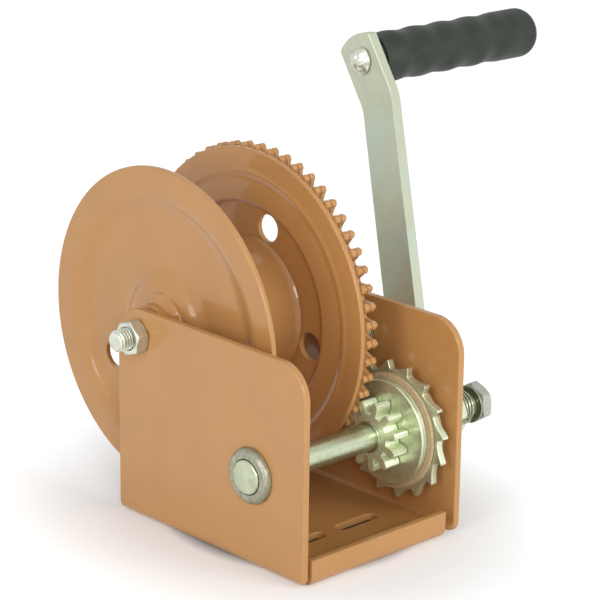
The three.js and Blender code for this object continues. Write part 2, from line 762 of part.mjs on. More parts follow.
function gearPlate(from) {
  const teeth = toothedOutline(
    GEAR_TEETH, gearTipR, gearRootR, gearPhase, GEAR_FLANK_SHARES,
  );
  const boreR = RIGHT_WEB_R + FLANGE_T + GEAR_BORE_PLAY;
  const bore = rod(boreR, from - OVERRUN, from + GEAR_PLATE_T + OVERRUN, FACETS);
  return alongX(teeth, from, from + GEAR_PLATE_T).subtract(bore);
}

addSolid(drumGroup, 'gear_plate_inner', gearPlate(gearFace), paint);
addSolid(drumGroup, 'gear_plate_outer', gearPlate(gearOuterFace), paint);

const pinionTeeth = toothedOutline(
  PINION_TEETH, pinionTipR, pinionRootR, pinionPhase, PINION_FLANK_SHARES,
);
addSolid(shaftGroup, 'pinion', alongX(pinionTeeth, pinionLeft, pinionRight).subtract(
  rod(SHAFT_R + SEAT, pinionLeft - OVERRUN, pinionRight + OVERRUN, FACETS_SMALL),
), zinc);

// Pinion shaft and its left bush

const journalLeft = leftOut - JOURNAL_OUT;
const journalRight = leftIn + JOURNAL_IN;
const threadLeft = rightIn - THREAD_FROM_PLATE;
addSolid(shaftGroup, 'pinion_shaft', turned([
  [0, journalLeft],
  [journalR - JOURNAL_BEVEL, journalLeft],
  [journalR, journalLeft + JOURNAL_BEVEL],
  [journalR, journalRight],
  [SHAFT_R, journalRight],
  [SHAFT_R, threadLeft],
  [threadR, threadLeft],
  [threadR, shaftTip - HEX_BEVEL],
  [threadR - HEX_BEVEL, shaftTip],
  [0, shaftTip],
]), zinc);
addSolid(shaftGroup, 'shaft_bush_left', turned([
  [journalR + TURN, leftOut - SEAT - BUSH_FLANGE_T],
  [leftBushR + BUSH_RIM - BUSH_BEVEL, leftOut - SEAT - BUSH_FLANGE_T],
  [leftBushR + BUSH_RIM, leftOut - SEAT - BUSH_FLANGE_T + BUSH_BEVEL],
  [leftBushR + BUSH_RIM, leftOut - SEAT],
  [leftBushR, leftOut - SEAT],
  [leftBushR, leftIn + JOURNAL_IN],
  [journalR + TURN, leftIn + JOURNAL_IN],
]), steel);

// Brake stack

addSolid(shaftGroup, 'pressure_flange', bevelledRing(
  PRESS_FLANGE_R, SHAFT_R + SEAT, pressFlangeLeft, pressFlangeRight,
  PRESS_FLANGE_BEVEL, PRESS_FLANGE_BEVEL,
), zinc);
addSolid(shaftGroup, 'ratchet_bush', ring(
  RATCHET_BUSH_R, SHAFT_R + SEAT, pressFlangeRight + SEAT, pressurePlateLeft - SEAT, FACETS_SMALL,
), bronze);
const ratchetBoreR = RATCHET_BUSH_R + TURN;
addSolid(shaftGroup, 'lining_left', ring(
  LINING_R, ratchetBoreR, liningLeftLeft, liningLeftRight,
), friction);
addSolid(shaftGroup, 'lining_right', ring(
  LINING_R, ratchetBoreR, liningRightLeft, liningRightLeft + LINING_T,
), friction);
addSolid(shaftGroup, 'pressure_plate', ring(
  PRESSURE_PLATE_R, SHAFT_R + SEAT, pressurePlateLeft, pressurePlateRight,
), zinc);

function ratchetWheel() {
  const outline = [];
  for (let i = 0; i < RATCHET_TEETH; i += 1) {
    const tip = RATCHET_PHASE + (i * 360) / RATCHET_TEETH;
    outline.push(onCircle(RATCHET_R, tip - RATCHET_CREST));
    outline.push(onCircle(RATCHET_R, tip));
    outline.push(onCircle(ratchetRootR, tip + RATCHET_FACE_LEAN));
  }
  const bore = rod(ratchetBoreR, ratchetLeft - OVERRUN, ratchetRight + OVERRUN, FACETS_SMALL);
  return alongX(polygon(outline), ratchetLeft, ratchetRight).subtract(bore);
}

addSolid(shaftGroup, 'ratchet_wheel', ratchetWheel(), zinc);

// Pawl, drawn in a gap of the ratchet wheel and then lifted clear of the teeth

function pawl() {
  const pivot = new THREE.Vector2(PAWL_BACK, PAWL_UP);
  const onWheel = (radius, degrees) => new THREE.Vector2(...onCircle(radius, degrees)).sub(pivot);
  const faceFoot = onWheel(ratchetRootR, RATCHET_PHASE + RATCHET_FACE_LEAN);
  const faceTip = onWheel(RATCHET_R, RATCHET_PHASE);
  const nextTip = RATCHET_PHASE + 360 / RATCHET_TEETH;
  const out = faceTip.clone().sub(faceFoot).normalize();
  const up = new THREE.Vector2(-out.y, out.x);
  const noseIn = faceFoot.clone().addScaledVector(out, PAWL_NOSE_IN)
    .addScaledVector(up, PAWL_NOSE_SEAT);
  const noseOut = noseIn.clone().addScaledVector(out, PAWL_NOSE_W);
  const knee = onWheel(RATCHET_R + PAWL_KNEE_GAP, nextTip);
  const bossOut = new THREE.Vector2(PAWL_BOSS_R, 0);
  const bossIn = new THREE.Vector2(-PAWL_BOSS_R, 0);
  const arm = new THREE.Shape([noseIn, noseOut, bossOut, bossIn, knee]);
  return alongX(arm, ratchetLeft, ratchetRight)
    .add(rod(PAWL_BOSS_R, ratchetLeft, ratchetRight, FACETS_SMALL))
    .subtract(rod(PAWL_BOLT_R + TURN, ratchetLeft - OVERRUN, ratchetRight + OVERRUN, FACETS_SMALL))
    .rotate([PAWL_REST_LIFT, 0, 0]);
}

addSolid(pawlGroup, 'pawl', pawl(), zinc);
const pawlNutLeft = rightOut + SEAT;
const pawlHeadRight = ratchetLeft - SEAT;
addSolid(pawlGroup, 'pawl_bolt', rod(
  PAWL_BOLT_R, pawlHeadRight - HEX_BEVEL, pawlNutLeft + PAWL_NUT_H + PAWL_THREAD_OUT, FACETS_SMALL,
).add(hexagon(PAWL_HEAD_AF, pawlHeadRight - PAWL_HEAD_H, pawlHeadRight, 0, 0)), zinc);
addSolid(pawlGroup, 'pawl_nut', hexagon(
  PAWL_HEAD_AF, pawlNutLeft, pawlNutLeft + PAWL_NUT_H, 0, PAWL_BOLT_R + SEAT,
), zinc);
addSolid(pawlGroup, 'pawl_sleeve', ring(
  PAWL_SLEEVE_R, PAWL_BOLT_R + SEAT, ratchetRight + SEAT, rightIn - SEAT, FACETS_SMALL,
), zinc);

// The pawl's spring winds round the sleeve, and its legs turn in to the pawl and to the plate.
function pawlSpringPoints() {
  const from = (ratchetRight + rightIn - PAWL_CURLS * pawlPitch) / 2;
  const coil = coilPoints(pawlCoilR, from, pawlPitch, PAWL_CURLS, 0, 1);
  const leg = (start, down, meets, towards) => {
    const bend = start.clone();
    bend.z += down * PAWL_LEG;
    const turning = bend.clone();
    turning.z += down * PAWL_TURN_IN;
    turning.x = meets - towards * 2 * PAWL_WIRE_R;
    const end = turning.clone();
    end.x = meets;
    return [bend, turning, end];
  };
  const toPawl = leg(coil[0], -1, ratchetRight + SEAT, -1);
  const toPlate = leg(coil[coil.length - 1], 1, rightIn - SEAT, 1);
  return [...toPawl.reverse(), ...coil, ...toPlate];
}

const pawlWire = pawlSpringPoints();
add(pawlGroup, 'pawl_spring', wire(pawlWire, PAWL_WIRE_R), spring);

// Crank: hub, arm, retaining spring and end nut

addSolid(shaftGroup, 'shaft_bush_right', turned([
  [rightBushBoreR, rightIn],
  [rightBushR, rightIn],
  [rightBushR, rightOut + SEAT],
  [RIGHT_BUSH_FLANGE_R, rightOut + SEAT],
  [RIGHT_BUSH_FLANGE_R, rightOut + SEAT + RIGHT_BUSH_FLANGE_T],
  [rightBushBoreR, rightOut + SEAT + RIGHT_BUSH_FLANGE_T],
]), bronze);
const hubThreadR = threadR + SEAT;
addSolid(crankGroup, 'crank_hub', turned([
  [hubThreadR, pressurePlateRight + SEAT],
  [HUB_SLEEVE_R, pressurePlateRight + SEAT],
  [HUB_SLEEVE_R, barFace - SEAT],
  [HUB_NECK_R, barFace - SEAT],
  [HUB_NECK_R, hubEnd],
  [hubThreadR, hubEnd],
]), zinc);
addSolid(crankGroup, 'hub_collar', bevelledRing(
  HUB_SLEEVE_R, HUB_NECK_R + SEAT, barBack + SEAT, hubEnd, HUB_BEVEL, HUB_BEVEL,
), zinc);

// The bar seen edge on, as [x, height above the shaft].
function barEdge() {
  const path = softened([
    [barFace, -BAR_W],
    [barFace, BAR_LOW_BEND],
    [gripArmFace, barHighBend],
    [gripArmFace, CRANK_THROW + BAR_TOP + OVERRUN],
  ], BAR_BEND_R);
  return polygon(sheetOver(path, BAR_T));
}

// The bar seen face on: a round foot about the hub and a shallow arc at the top.
function barFaceOutline() {
  const half = BAR_W / 2;
  const crest = CRANK_THROW + BAR_TOP;
  const spread = Math.asin(half / BAR_TOP_R);
  const shape = new THREE.Shape();
  shape.absarc(0, 0, half, -Math.PI, 0);
  shape.absarc(0, crest - BAR_TOP_R, BAR_TOP_R, Math.PI / 2 - spread, Math.PI / 2 + spread);
  return shape;
}

function crankArm() {
  return alongY(barEdge(), -BAR_W, BAR_W)
    .intersect(alongX(barFaceOutline(), barFace - OVERRUN, gripArmFace + BAR_T + OVERRUN))
    .subtract(rod(HUB_NECK_R + SEAT, barFace - OVERRUN, barBack + OVERRUN))
    .subtract(rod(PIN_R + SEAT, gripArmFace - OVERRUN, gripArmFace + BAR_T + OVERRUN, FACETS_SMALL)
      .translate([0, 0, CRANK_THROW]));
}

addSolid(crankGroup, 'crank_arm', crankArm(), zinc);

// The retaining spring: a leg out past the collar, the curls, and an end turned in to the washer.
function crankSpringPoints() {
  const coil = coilPoints(coilR, coilStart, curlPitch, CURLS, 180, -1);
  const [legBack, legUp] = onCircle(HUB_SLEEVE_R + CURL_GAP + WIRE_R, 180 + COIL_LEG_DROP);
  const leg = new THREE.Vector3(coilStart, legBack, legUp);
  const end = coil[coil.length - 1];
  const turning = end.clone();
  turning.x = coilMeets - 2 * WIRE_R;
  turning.z -= COIL_TURN_IN;
  const meets = turning.clone();
  meets.x = coilMeets;
  return [leg, ...coil, turning, meets];
}

const crankWire = crankSpringPoints();
add(shaftGroup, 'crank_spring', wire(crankWire, WIRE_R), spring);
addSolid(shaftGroup, 'spring_washer', ring(
  coilR + WIRE_R + SPRING_WASHER_RIM, threadR + SEAT, springWasherLeft, springWasherLeft + SPRING_WASHER_T,
  FACETS_SMALL,
), zinc);
addSolid(shaftGroup, 'crank_nut', hexagon(
  CRANK_NUT_AF, crankNutLeft, crankNutLeft + CRANK_NUT_H, CRANK_NUT_TURN, threadR + SEAT,
), zinc);

// Grip on its riveted pin

const gripWasherLeft = gripArmFace + BAR_T + SEAT;
const gripLeft = gripWasherLeft + GRIP_WASHER_T + SEAT;
const gripRight = gripLeft + GRIP_L;
const pinRight = gripRight - GRIP_WALL_END;
addSolid(gripGroup, 'grip_pin', turned([
  [0, gripArmFace - SEAT - PIN_HEAD_H],
  [PIN_HEAD_R - PIN_HEAD_BEVEL, gripArmFace - SEAT - PIN_HEAD_H],
  [PIN_HEAD_R, gripArmFace - SEAT - PIN_HEAD_H + PIN_HEAD_BEVEL],
  [PIN_HEAD_R, gripArmFace - SEAT],
  [PIN_R, gripArmFace - SEAT],
  [PIN_R, pinRight - SEAT],
  [0, pinRight - SEAT],
], FACETS_SMALL), zinc);
addSolid(gripGroup, 'grip_washer', ring(
  GRIP_WASHER_R, PIN_R + TURN, gripWasherLeft, gripWasherLeft + GRIP_WASHER_T, FACETS_SMALL,
), plastic);

function gripBody() {
  const steps = GRIP_WAVES * WAVE_STEPS + WAVE_STEPS / 2;
  const profile = [[PIN_R + TURN, gripLeft], [GRIP_R - GRIP_START_ROUND, gripLeft]];
  for (let i = 0; i <= steps; i += 1) {
    const along = (i * GRIP_WAVE_L) / WAVE_STEPS;
    const wave = GRIP_WAVE * Math.cos((2 * Math.PI * along) / GRIP_WAVE_L);
    profile.push([GRIP_R - wave, gripLeft + GRIP_START_ROUND + along]);
  }
  const endR = GRIP_R + GRIP_WAVE;
  for (let i = 0; i <= BEND_STEPS; i += 1) {
    const [u, v] = onCircle(GRIP_END_ROUND, (90 * i) / BEND_STEPS);
    profile.push([endR - GRIP_END_ROUND + u, gripRight - GRIP_END_ROUND + v]);
  }
  return turned([[0, pinRight], [PIN_R + TURN, pinRight], ...profile, [0, gripRight]], FACETS_SMALL);
}

addSolid(gripGroup, 'grip', gripBody(), plastic);

console.log('least gap of crank_spring', leastGap(crankWire, WIRE_R, 4).toFixed(2));
console.log('least gap of pawl_spring', leastGap(pawlWire, PAWL_WIRE_R, 4).toFixed(2));

export default winch;
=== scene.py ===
"""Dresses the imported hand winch. Every piece is made round the CAD frame.

Makers work in millimetres, as on a drawing, with X along the shafts; finished() turns the
result into metres and puts it in its place.
"""
import json
import math

import bmesh
import bpy
from bmesh.types import BMEdge, BMFace, BMVert
from bpy.props import FloatProperty, FloatVectorProperty, IntProperty, PointerProperty
from mathutils import Matrix, Vector


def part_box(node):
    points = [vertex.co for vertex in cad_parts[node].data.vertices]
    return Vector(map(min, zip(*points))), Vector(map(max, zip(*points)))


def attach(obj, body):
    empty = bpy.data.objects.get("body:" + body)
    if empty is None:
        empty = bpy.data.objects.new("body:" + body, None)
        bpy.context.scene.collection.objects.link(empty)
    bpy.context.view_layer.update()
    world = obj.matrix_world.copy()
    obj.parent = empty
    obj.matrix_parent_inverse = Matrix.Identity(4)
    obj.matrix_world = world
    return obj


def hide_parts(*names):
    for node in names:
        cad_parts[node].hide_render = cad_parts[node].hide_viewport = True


bl_info = {
    "name": "Hand winch",
    "version": (1, 0, 0),
    "blender": (4, 5, 0),
    "location": "View3D > Sidebar > Winch",
    "description": "Makes the visible pieces of a small hand winch round its CAD frame",
    "category": "Object",
}

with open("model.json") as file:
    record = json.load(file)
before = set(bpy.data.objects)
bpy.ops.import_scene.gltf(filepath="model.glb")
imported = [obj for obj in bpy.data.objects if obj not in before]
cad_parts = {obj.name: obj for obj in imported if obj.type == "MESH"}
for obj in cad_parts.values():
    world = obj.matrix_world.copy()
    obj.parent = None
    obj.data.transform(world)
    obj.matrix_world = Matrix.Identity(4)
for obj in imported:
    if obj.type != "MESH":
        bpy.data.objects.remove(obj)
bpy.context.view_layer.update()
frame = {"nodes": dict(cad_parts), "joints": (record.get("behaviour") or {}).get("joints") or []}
NODES = frame["nodes"]
MM = 0.001


def hinge(name):
    """The place of a hinge's axis, in mm."""
    joint = next(j for j in frame["joints"] if j["name"] == name)
    return Vector(joint["pos_m"]) / MM


DRUM = hinge("drum_spin")
SHAFT = hinge("shaft_spin")
PAWL = hinge("pawl_lift")
GRIP = hinge("grip_spin")
CRANK_LEAN = math.atan2(GRIP.y - SHAFT.y, GRIP.z - SHAFT.z)
CRANK_THROW = math.hypot(GRIP.y - SHAFT.y, GRIP.z - SHAFT.z)
BAR_THICK = 6.5
GEAR_TEETH = 56
GEAR_PHASE = math.radians(0.8)
PINION_TEETH = 11
FINE_STEPS = 96
QUARTER = math.pi / 2


def span(node):
    """First and last X of a CAD node, in mm."""
    low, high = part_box(node)
    return low.x / MM, high.x / MM


def measured(node, axis):
    """First and last X, outer radius and least radius of a CAD node round an axis, in mm."""
    radii = [
        math.hypot(v.co.y / MM - axis.y, v.co.z / MM - axis.z) for v in NODES[node].data.vertices
    ]
    return *span(node), max(radii), min(radii)


def linear(red, green, blue):
    """A colour as a screen shows it, from 0 to 255, as scene values."""
    return tuple(
        v / 12.92 if v <= 0.04045 else ((v + 0.055) / 1.055) ** 2.4
        for v in (red / 255, green / 255, blue / 255)
    ) + (1.0,)


# Sizes and colours


def size(name, description, default):
    return FloatProperty(name=name, description=description, default=default, min=0)


def colour(name, description, *shown):
    return FloatVectorProperty(
        name=name, description=description, default=linear(*shown), size=4, min=0, max=1,
        subtype="COLOR",
    )


class WinchSizes(bpy.types.PropertyGroup):
    """Sizes in millimetres that a user would change."""

    sheet: size("Sheet", "Thickness of the side frame", 4.0)
    flange: size("Flange", "Thickness of the drum's flanges", 3.2)
    edge: size("Edge", "Rounding of the painted sheet edges", 0.7)
    tooth_edge: size("Tooth edge", "Rounding of the gear's painted rims", 0.85)
    steel_edge: size("Steel edge", "Rounding of the plated edges", 0.45)
    pitch: size("Thread pitch", "Pitch of the bolt threads", 1.75)
    wave: size("Grip wave", "Height of the grip's finger waves", 0.45)
    steps: IntProperty(name="Steps", description="Steps of a large turned piece", default=128)
    small_steps: IntProperty(
        name="Small steps", description="Steps of a small turned piece", default=72
    )


class WinchColours(bpy.types.PropertyGroup):
    """Base colours of the finishes."""

    paint: colour("Paint", "Gloss paint of the frame, drum and gear", 193, 142, 86)
    zinc: colour("Zinc", "Greenish plating of the shaft and brake", 200, 209, 180)
    bright: colour("Bright zinc", "Bright plating of the bolts and nuts", 208, 212, 198)
    bar: colour("Bar", "Dull plating of the crank's bar", 194, 201, 180)
    steel: colour("Steel", "Bare turned steel", 162, 162, 142)
    bronze: colour("Bronze", "Plain bushes", 156, 124, 74)
    lining: colour("Lining", "Brake linings", 196, 172, 134)
    wire: colour("Wire", "Spring wire", 165, 170, 145)
    plastic: colour("Grip", "Moulded grip", 31, 39, 30)
    floor: colour("Floor", "Floor and backdrop", 240, 240, 240)


# Finishes


def node(tree, kind, inputs, **settings):
    """Adds a shader node, its inputs set or linked, and gives its outputs."""
    made = tree.nodes.new("ShaderNode" + kind)
    for key, value in settings.items():
        setattr(made, key, value)
    for key, value in inputs.items():
        if isinstance(value, bpy.types.NodeSocket):
            tree.links.new(value, made.inputs[key])
        else:
            made.inputs[key].default_value = value
    return made.outputs


def tinted(base, gain, warm=0.0):
    """A colour made lighter or darker, and a little warmer."""
    red, green, blue, _ = base
    return (
        min(1, red * gain * (1 + warm)), min(1, green * gain), min(1, blue * gain * (1 - warm)), 1.0
    )


class Finish:
    """A material whose pattern reads places on the piece in millimetres."""

    def __init__(self, name, **values):
        self.material = bpy.data.materials.new(name)
        self.material.use_nodes = True
        self.tree = self.material.node_tree
        self.shader = self.tree.nodes["Principled BSDF"]
        for socket, value in values.items():
            self.shader.inputs[socket.replace("_", " ")].default_value = value
        self.place = node(self.tree, "TexCoord", {})["Object"]
        self.normal = None

    def mapped(self, centre=(0, 0, 0), turn=0, stretch=None):
        """Places in mm from a centre; where there is a stretch, turned round X and stretched."""
        at = node(self.tree, "Mapping", {
            "Vector": self.place, "Location": [-c for c in centre], "Scale": (1 / MM,) * 3,
        })[0]
        if stretch:
            at = node(self.tree, "Mapping", {"Vector": at, "Rotation": (turn, 0, 0)})[0]
            at = node(self.tree, "Mapping", {"Vector": at, "Scale": stretch})[0]
        return at

    def noise(self, at, scale, detail=3.0, rough=0.5, bend=0.0):
        return node(self.tree, "TexNoise", {
            "Vector": at, "Scale": scale, "Detail": detail, "Roughness": rough, "Distortion": bend,
        })["Fac"]

    def rings(self, at, scale, bend):
        """Fine turning marks round the X axis."""
        return node(self.tree, "TexWave", {
            "Vector": at, "Scale": scale, "Distortion": bend, "Detail": 2.0, "Detail Scale": 1.5,
        }, wave_type="RINGS", rings_direction="X")["Fac"]

    def shades(self, fac, base, *stops):
        """A ramp of tints of a base colour; a stop is its place, its gain and its warmth."""
        colour_out = node(self.tree, "ValToRGB", {"Fac": fac})["Color"]
        points = colour_out.node.color_ramp.elements
        while len(points) < len(stops):
            points.new(0.5)
        for point, (place, *tint) in zip(points, stops):
            point.position = place
            point.color = tinted(base, *tint)
        return colour_out

    def spread(self, fac, low, high, start=0.3, end=0.7):
        return node(self.tree, "MapRange", {
            "Value": fac, "From Min": start, "From Max": end, "To Min": low, "To Max": high,
        })["Result"]

    def blended(self, fac, first, second):
        return node(self.tree, "Mix", {0: fac, 6: first, 7: second}, data_type="RGBA")[2]

    def bump(self, height, depth, strength):
        """Adds relief of a depth in mm."""
        inputs = {"Height": height, "Distance": depth * MM, "Strength": strength}
        if self.normal:
            inputs["Normal"] = self.normal
        self.normal = node(self.tree, "Bump", inputs)["Normal"]

    def done(self, body, rough=None):
        for name, socket in (("Base Color", body), ("Roughness", rough), ("Normal", self.normal)):
            if socket:
                self.tree.links.new(socket, self.shader.inputs[name])
        return self.material


def gloss_paint(base):
    paint = Finish("gloss_paint", Coat_Weight=0.5, Coat_Roughness=0.06, Specular_IOR_Level=0.25)
    at = paint.mapped()
    cloud = paint.noise(at, 0.035, 4, 0.55)
    body = paint.shades(cloud, base, (0.25, 0.94, 0.01), (0.75, 1.05))
    specks = paint.spread(paint.noise(at, 1.6, 2), 0, 1, 0.66, 0.72)
    body = paint.blended(specks, body, tinted(base, 0.8))
    paint.bump(paint.noise(at, 0.42, 2, 0.4), 0.05, 0.5)
    paint.bump(paint.noise(at, 1.7, 2, 0.5), 0.012, 0.5)
    return paint.done(body, paint.spread(cloud, 0.3, 0.42))


def plated(shade, name, gain, rough, metal, ridge=0.0):
    """Dull zinc plate with turning marks round the shaft, and ridges along X where asked."""
    base = tinted(shade, gain)
    zinc = Finish(name, Metallic=metal)
    at = zinc.mapped(SHAFT)
    cloud = zinc.noise(at, 0.16, 4, 0.6, 0.5)
    body = zinc.shades(cloud, base, (0.3, 0.82, 0.05), (0.5, 1), (0.68, 1.08, -0.02))
    spots = zinc.spread(zinc.noise(at, 1.3, 4, 0.7), 0, 0.4, 0.6, 0.76)
    body = zinc.blended(spots, body, tinted(base, 0.6, 0.08))
    zinc.bump(zinc.noise(at, 2.4, 3, 0.6), 0.006, 0.6)
    zinc.bump(zinc.rings(at, 0.5, 1.5), 0.012, 0.5)
    if ridge:
        lines = node(zinc.tree, "TexWave", {
            "Vector": at, "Scale": 0.27, "Distortion": 0.6, "Detail": 2.0,
        }, wave_type="BANDS", bands_direction="X")["Fac"]
        zinc.bump(lines, ridge, 0.8)
    return zinc.done(body, zinc.spread(cloud, rough + 0.08, rough - 0.05))


def dull_bar(base):
    bar = Finish("dull_plated_bar", Metallic=0.72)
    along = bar.mapped(SHAFT, CRANK_LEAN, (0.6, 0.6, 0.07))
    streaks = bar.noise(along, 1.0, 5, 0.62, 0.3)
    at = bar.mapped()
    cloud = bar.noise(at, 0.09, 4, 0.6, 0.4)
    body = bar.shades(streaks, base, (0.3, 0.93), (0.5, 1), (0.72, 1.04))
    body = bar.blended(bar.spread(cloud, 0, 0.6), body, tinted(base, 0.86, 0.06))
    pale = bar.spread(bar.noise(at, 0.045, 2, 0.5), 0, 0.7, 0.45, 0.6)
    body = bar.blended(pale, body, tinted(base, 1.0, -0.09))
    bar.bump(streaks, 0.02, 0.35)
    bar.bump(bar.noise(at, 2.2, 3, 0.6), 0.02, 0.5)
    return bar.done(body, bar.spread(streaks, 0.52, 0.42))


def turned_steel(base):
    steel = Finish("turned_steel", Metallic=0.85)
    at = steel.mapped(SHAFT)
    marks = steel.rings(at, 0.9, 2.0)
    cloud = steel.noise(at, 0.4, 5, 0.65, 0.5)
    body = steel.shades(cloud, base, (0.3, 0.62), (0.55, 1), (0.75, 1.2))
    steel.bump(marks, 0.02, 0.4)
    steel.bump(steel.noise(at, 2.8, 3, 0.6), 0.02, 0.5)
    return steel.done(body, steel.spread(cloud, 0.48, 0.34))


def cast_bronze(base):
    bronze = Finish("plain_bronze", Metallic=1.0)
    at = bronze.mapped(SHAFT)
    cloud = bronze.noise(at, 0.5, 4, 0.6)
    body = bronze.shades(cloud, base, (0.3, 0.7), (0.7, 1.1))
    bronze.bump(bronze.rings(at, 1.0, 1.0), 0.015, 0.4)
    return bronze.done(body, bronze.spread(cloud, 0.5, 0.38))


def rough_lining(base):
    lining = Finish("rough_lining", Roughness=0.9)
    at = lining.mapped()
    grains = lining.noise(at, 1.5, 6, 0.75)
    body = lining.shades(grains, base, (0.3, 0.4), (0.48, 1), (0.66, 1.5, -0.05))
    cells = node(lining.tree, "TexVoronoi", {"Vector": at, "Scale": 1.1}, feature="F1")
    flecks = lining.spread(cells["Distance"], 0.6, 0, 0.06, 0.2)
    body = lining.blended(flecks, body, tinted(base, 2.1, -0.1))
    lining.bump(grains, 0.35, 0.9)
    return lining.done(body, lining.spread(grains, 0.95, 0.75))


def spring_wire(base):
    wire = Finish("spring_wire", Metallic=1.0)
    at = wire.mapped(SHAFT)
    cloud = wire.noise(at, 0.8, 4, 0.6)
    body = wire.shades(cloud, base, (0.3, 0.55), (0.7, 1.15))
    wire.bump(wire.noise(at, 4.0, 3), 0.01, 0.5)
    return wire.done(body, wire.spread(cloud, 0.42, 0.28))


def moulded_grip(base):
    grip = Finish("moulded_grip", Specular_IOR_Level=0.42)
    at = grip.mapped()
    grain = grip.noise(at, 3.2, 4, 0.7)
    cloud = grip.noise(at, 0.08, 3, 0.5)
    body = grip.shades(cloud, base, (0.3, 0.8), (0.7, 1.35))
    dust = grip.spread(grip.noise(at, 1.1, 5, 0.7), 0, 0.3, 0.58, 0.72)
    body = grip.blended(dust, body, tinted(base, 2.6))
    grip.bump(grain, 0.05, 0.6)
    return grip.done(body, grip.spread(cloud, 0.6, 0.48))


# A finish's slot in the record, its maker, its base colour and the maker's other values.
FINISHES = {
    "paint": ("paint", gloss_paint, "paint"),
    "shaft_zinc": ("zinc", plated, "zinc", "shaft_zinc", 0.85, 0.27, 0.9),
    "brake_zinc": ("zinc", plated, "zinc", "brake_zinc", 1.12, 0.32, 0.75),
    # The pinion's zinc is half again as light as the base zinc, to stand in for its brightly lit
    # tooth tips: a painted highlight.
    "pinion_zinc_painted_highlight": ("zinc", plated, "zinc", "pinion_zinc_painted_highlight", 1.5, 0.3, 0.6, 0.25),
    "nut_zinc": ("zinc", plated, "bright", "nut_zinc", 0.68, 0.36, 0.8),
    "bright_zinc": ("zinc", plated, "bright", "bright_zinc", 1, 0.34, 0.8),
    "bar": ("zinc", dull_bar, "bar"),
    "steel": ("steel", turned_steel, "steel"),
    "bronze": ("bronze", cast_bronze, "bronze"),
    "lining": ("friction", rough_lining, "lining"),
    "wire": ("spring_steel", spring_wire, "wire"),
    "plastic": ("grip", moulded_grip, "plastic"),
}
MADE = {}


def finish(look):
    """The material of a finish, made once."""
    if look not in MADE:
        _, maker, shade, *values = FINISHES[look]
        MADE[look] = maker(getattr(bpy.context.scene.winch_colours, shade), *values)
    return MADE[look]


# Shapes


def laid(axis, u, v, w):
    """A point of a drawing in the plane square to an axis, at a depth along it."""
    return {"X": (w, u, v), "Y": (u, w, v), "Z": (u, v, w)}[axis]


def round_point(r, degrees, *rounding):
    """A point of a drawing by its distance from the middle and its angle."""
    a = math.radians(degrees)
    return (r * math.cos(a), r * math.sin(a), *rounding)


def line(corners, axis="Y", depth=0.0, closed=True, segments=5):
    """A flat line through (u, v) corners; a third number cuts and rounds a corner that much."""
    bm = bmesh.new()
    points = [bm.verts.new(laid(axis, c[0], c[1], depth)) for c in corners]
    for a, b in zip(points, points[1:] + points[:1] if closed else points[1:]):
        bm.edges.new((a, b))
    rounded = {}
    for point, corner in zip(points, corners):
        if len(corner) > 2 and corner[2] > 0:
            rounded.setdefault(corner[2], []).append(point)
    for amount, group in rounded.items():
        bmesh.ops.bevel(
            bm, geom=group, offset=amount, offset_type="OFFSET", segments=segments, profile=0.5,
            affect="VERTICES", material=-1, clamp_overlap=False,
        )
    return bm


def closed_up(bm):
    bmesh.ops.remove_doubles(bm, verts=bm.verts, dist=1e-4)
    bmesh.ops.recalc_face_normals(bm, faces=bm.faces)
    return bm


def moved(bm, y=0.0, z=0.0):
    bmesh.ops.translate(bm, verts=bm.verts, vec=(0, y, z))
    return bm


def spun(bm, steps, rise=0.0):
    """Spins a flat line once round the X axis, a little along it at each step where it rises."""
    bmesh.ops.spin(
        bm, geom=bm.verts[:] + bm.edges[:], cent=(0, 0, 0), axis=(1, 0, 0), dvec=(rise, 0, 0),
        angle=math.tau, steps=steps, use_merge=not rise, use_duplicate=False,
    )
    return bm


def turned(corners, steps=None, segments=5):
    """A profile of (x, radius) corners turned round the X axis."""
    solid = corners[0][1] == 0 and corners[-1][1] == 0
    steps = steps or bpy.context.scene.winch_sizes.small_steps
    return closed_up(spun(line(corners, closed=not solid, segments=segments), steps))


def rod(radius, start, end, steps=None):
    return turned([(start, 0), (start, radius), (end, radius), (end, 0)], steps)


def only(geom, kind):
    return [g for g in geom if isinstance(g, kind)]


def raised(bm, faces, axis, way):
    """Extrudes flat faces along an axis."""
    out = bmesh.ops.extrude_face_region(bm, geom=faces)["geom"]
    bmesh.ops.translate(bm, verts=only(out, BMVert), vec=laid(axis, 0, 0, way))
    return closed_up(bm)


def drawn(corners, axis, start, end):
    """A closed outline drawn out along an axis."""
    bm = line(corners, axis, start, segments=6)
    faces = bmesh.ops.contextual_create(bm, geom=bm.edges[:])["faces"]
    return raised(bm, faces, axis, end - start)


def opening(u, v, half_u, half_v):
    """The corners of a slot, or of a round hole where its halves are alike."""
    rounding = min(half_u, half_v) - 0.01
    return [
        (u + a * half_u, v + b * half_v, rounding) for a, b in ((-1, -1), (1, -1), (1, 1), (-1, 1))
    ]


def plate(outline, openings, axis, start, end, soft, segments=3):
    """A flat plate with openings, drawn out along an axis, its rims rounded by soft."""
    shapes = [line(outline, axis, start + soft, segments=segments)]
    shapes += [line(corners, axis, start + soft, segments=16) for corners in openings]
    bm = joined(*shapes)
    filled = bmesh.ops.triangle_fill(bm, edges=bm.edges[:], use_beauty=True)["geom"]
    raised(bm, only(filled, BMFace), axis, end - start - 2 * soft)
    along = "XYZ".index(axis)
    for place in (start + soft, end - soft):
        cap = [
            f for f in bm.faces
            if abs(f.calc_center_median()[along] - place) < 1e-3 and abs(f.normal[along]) > 0.9
        ]
        for inward, outward in ((0.16, 0.5), (0.34, 0.33), (0.5, 0.17)):
            bmesh.ops.inset_region(
                bm, faces=cap, thickness=soft * inward, depth=soft * outward, use_boundary=True,
            )
    return bm


def opened(mesh):
    """A mesh as a new bmesh; the mesh goes."""
    bm = bmesh.new()
    bm.from_mesh(mesh)
    bpy.data.meshes.remove(mesh)
    return bm


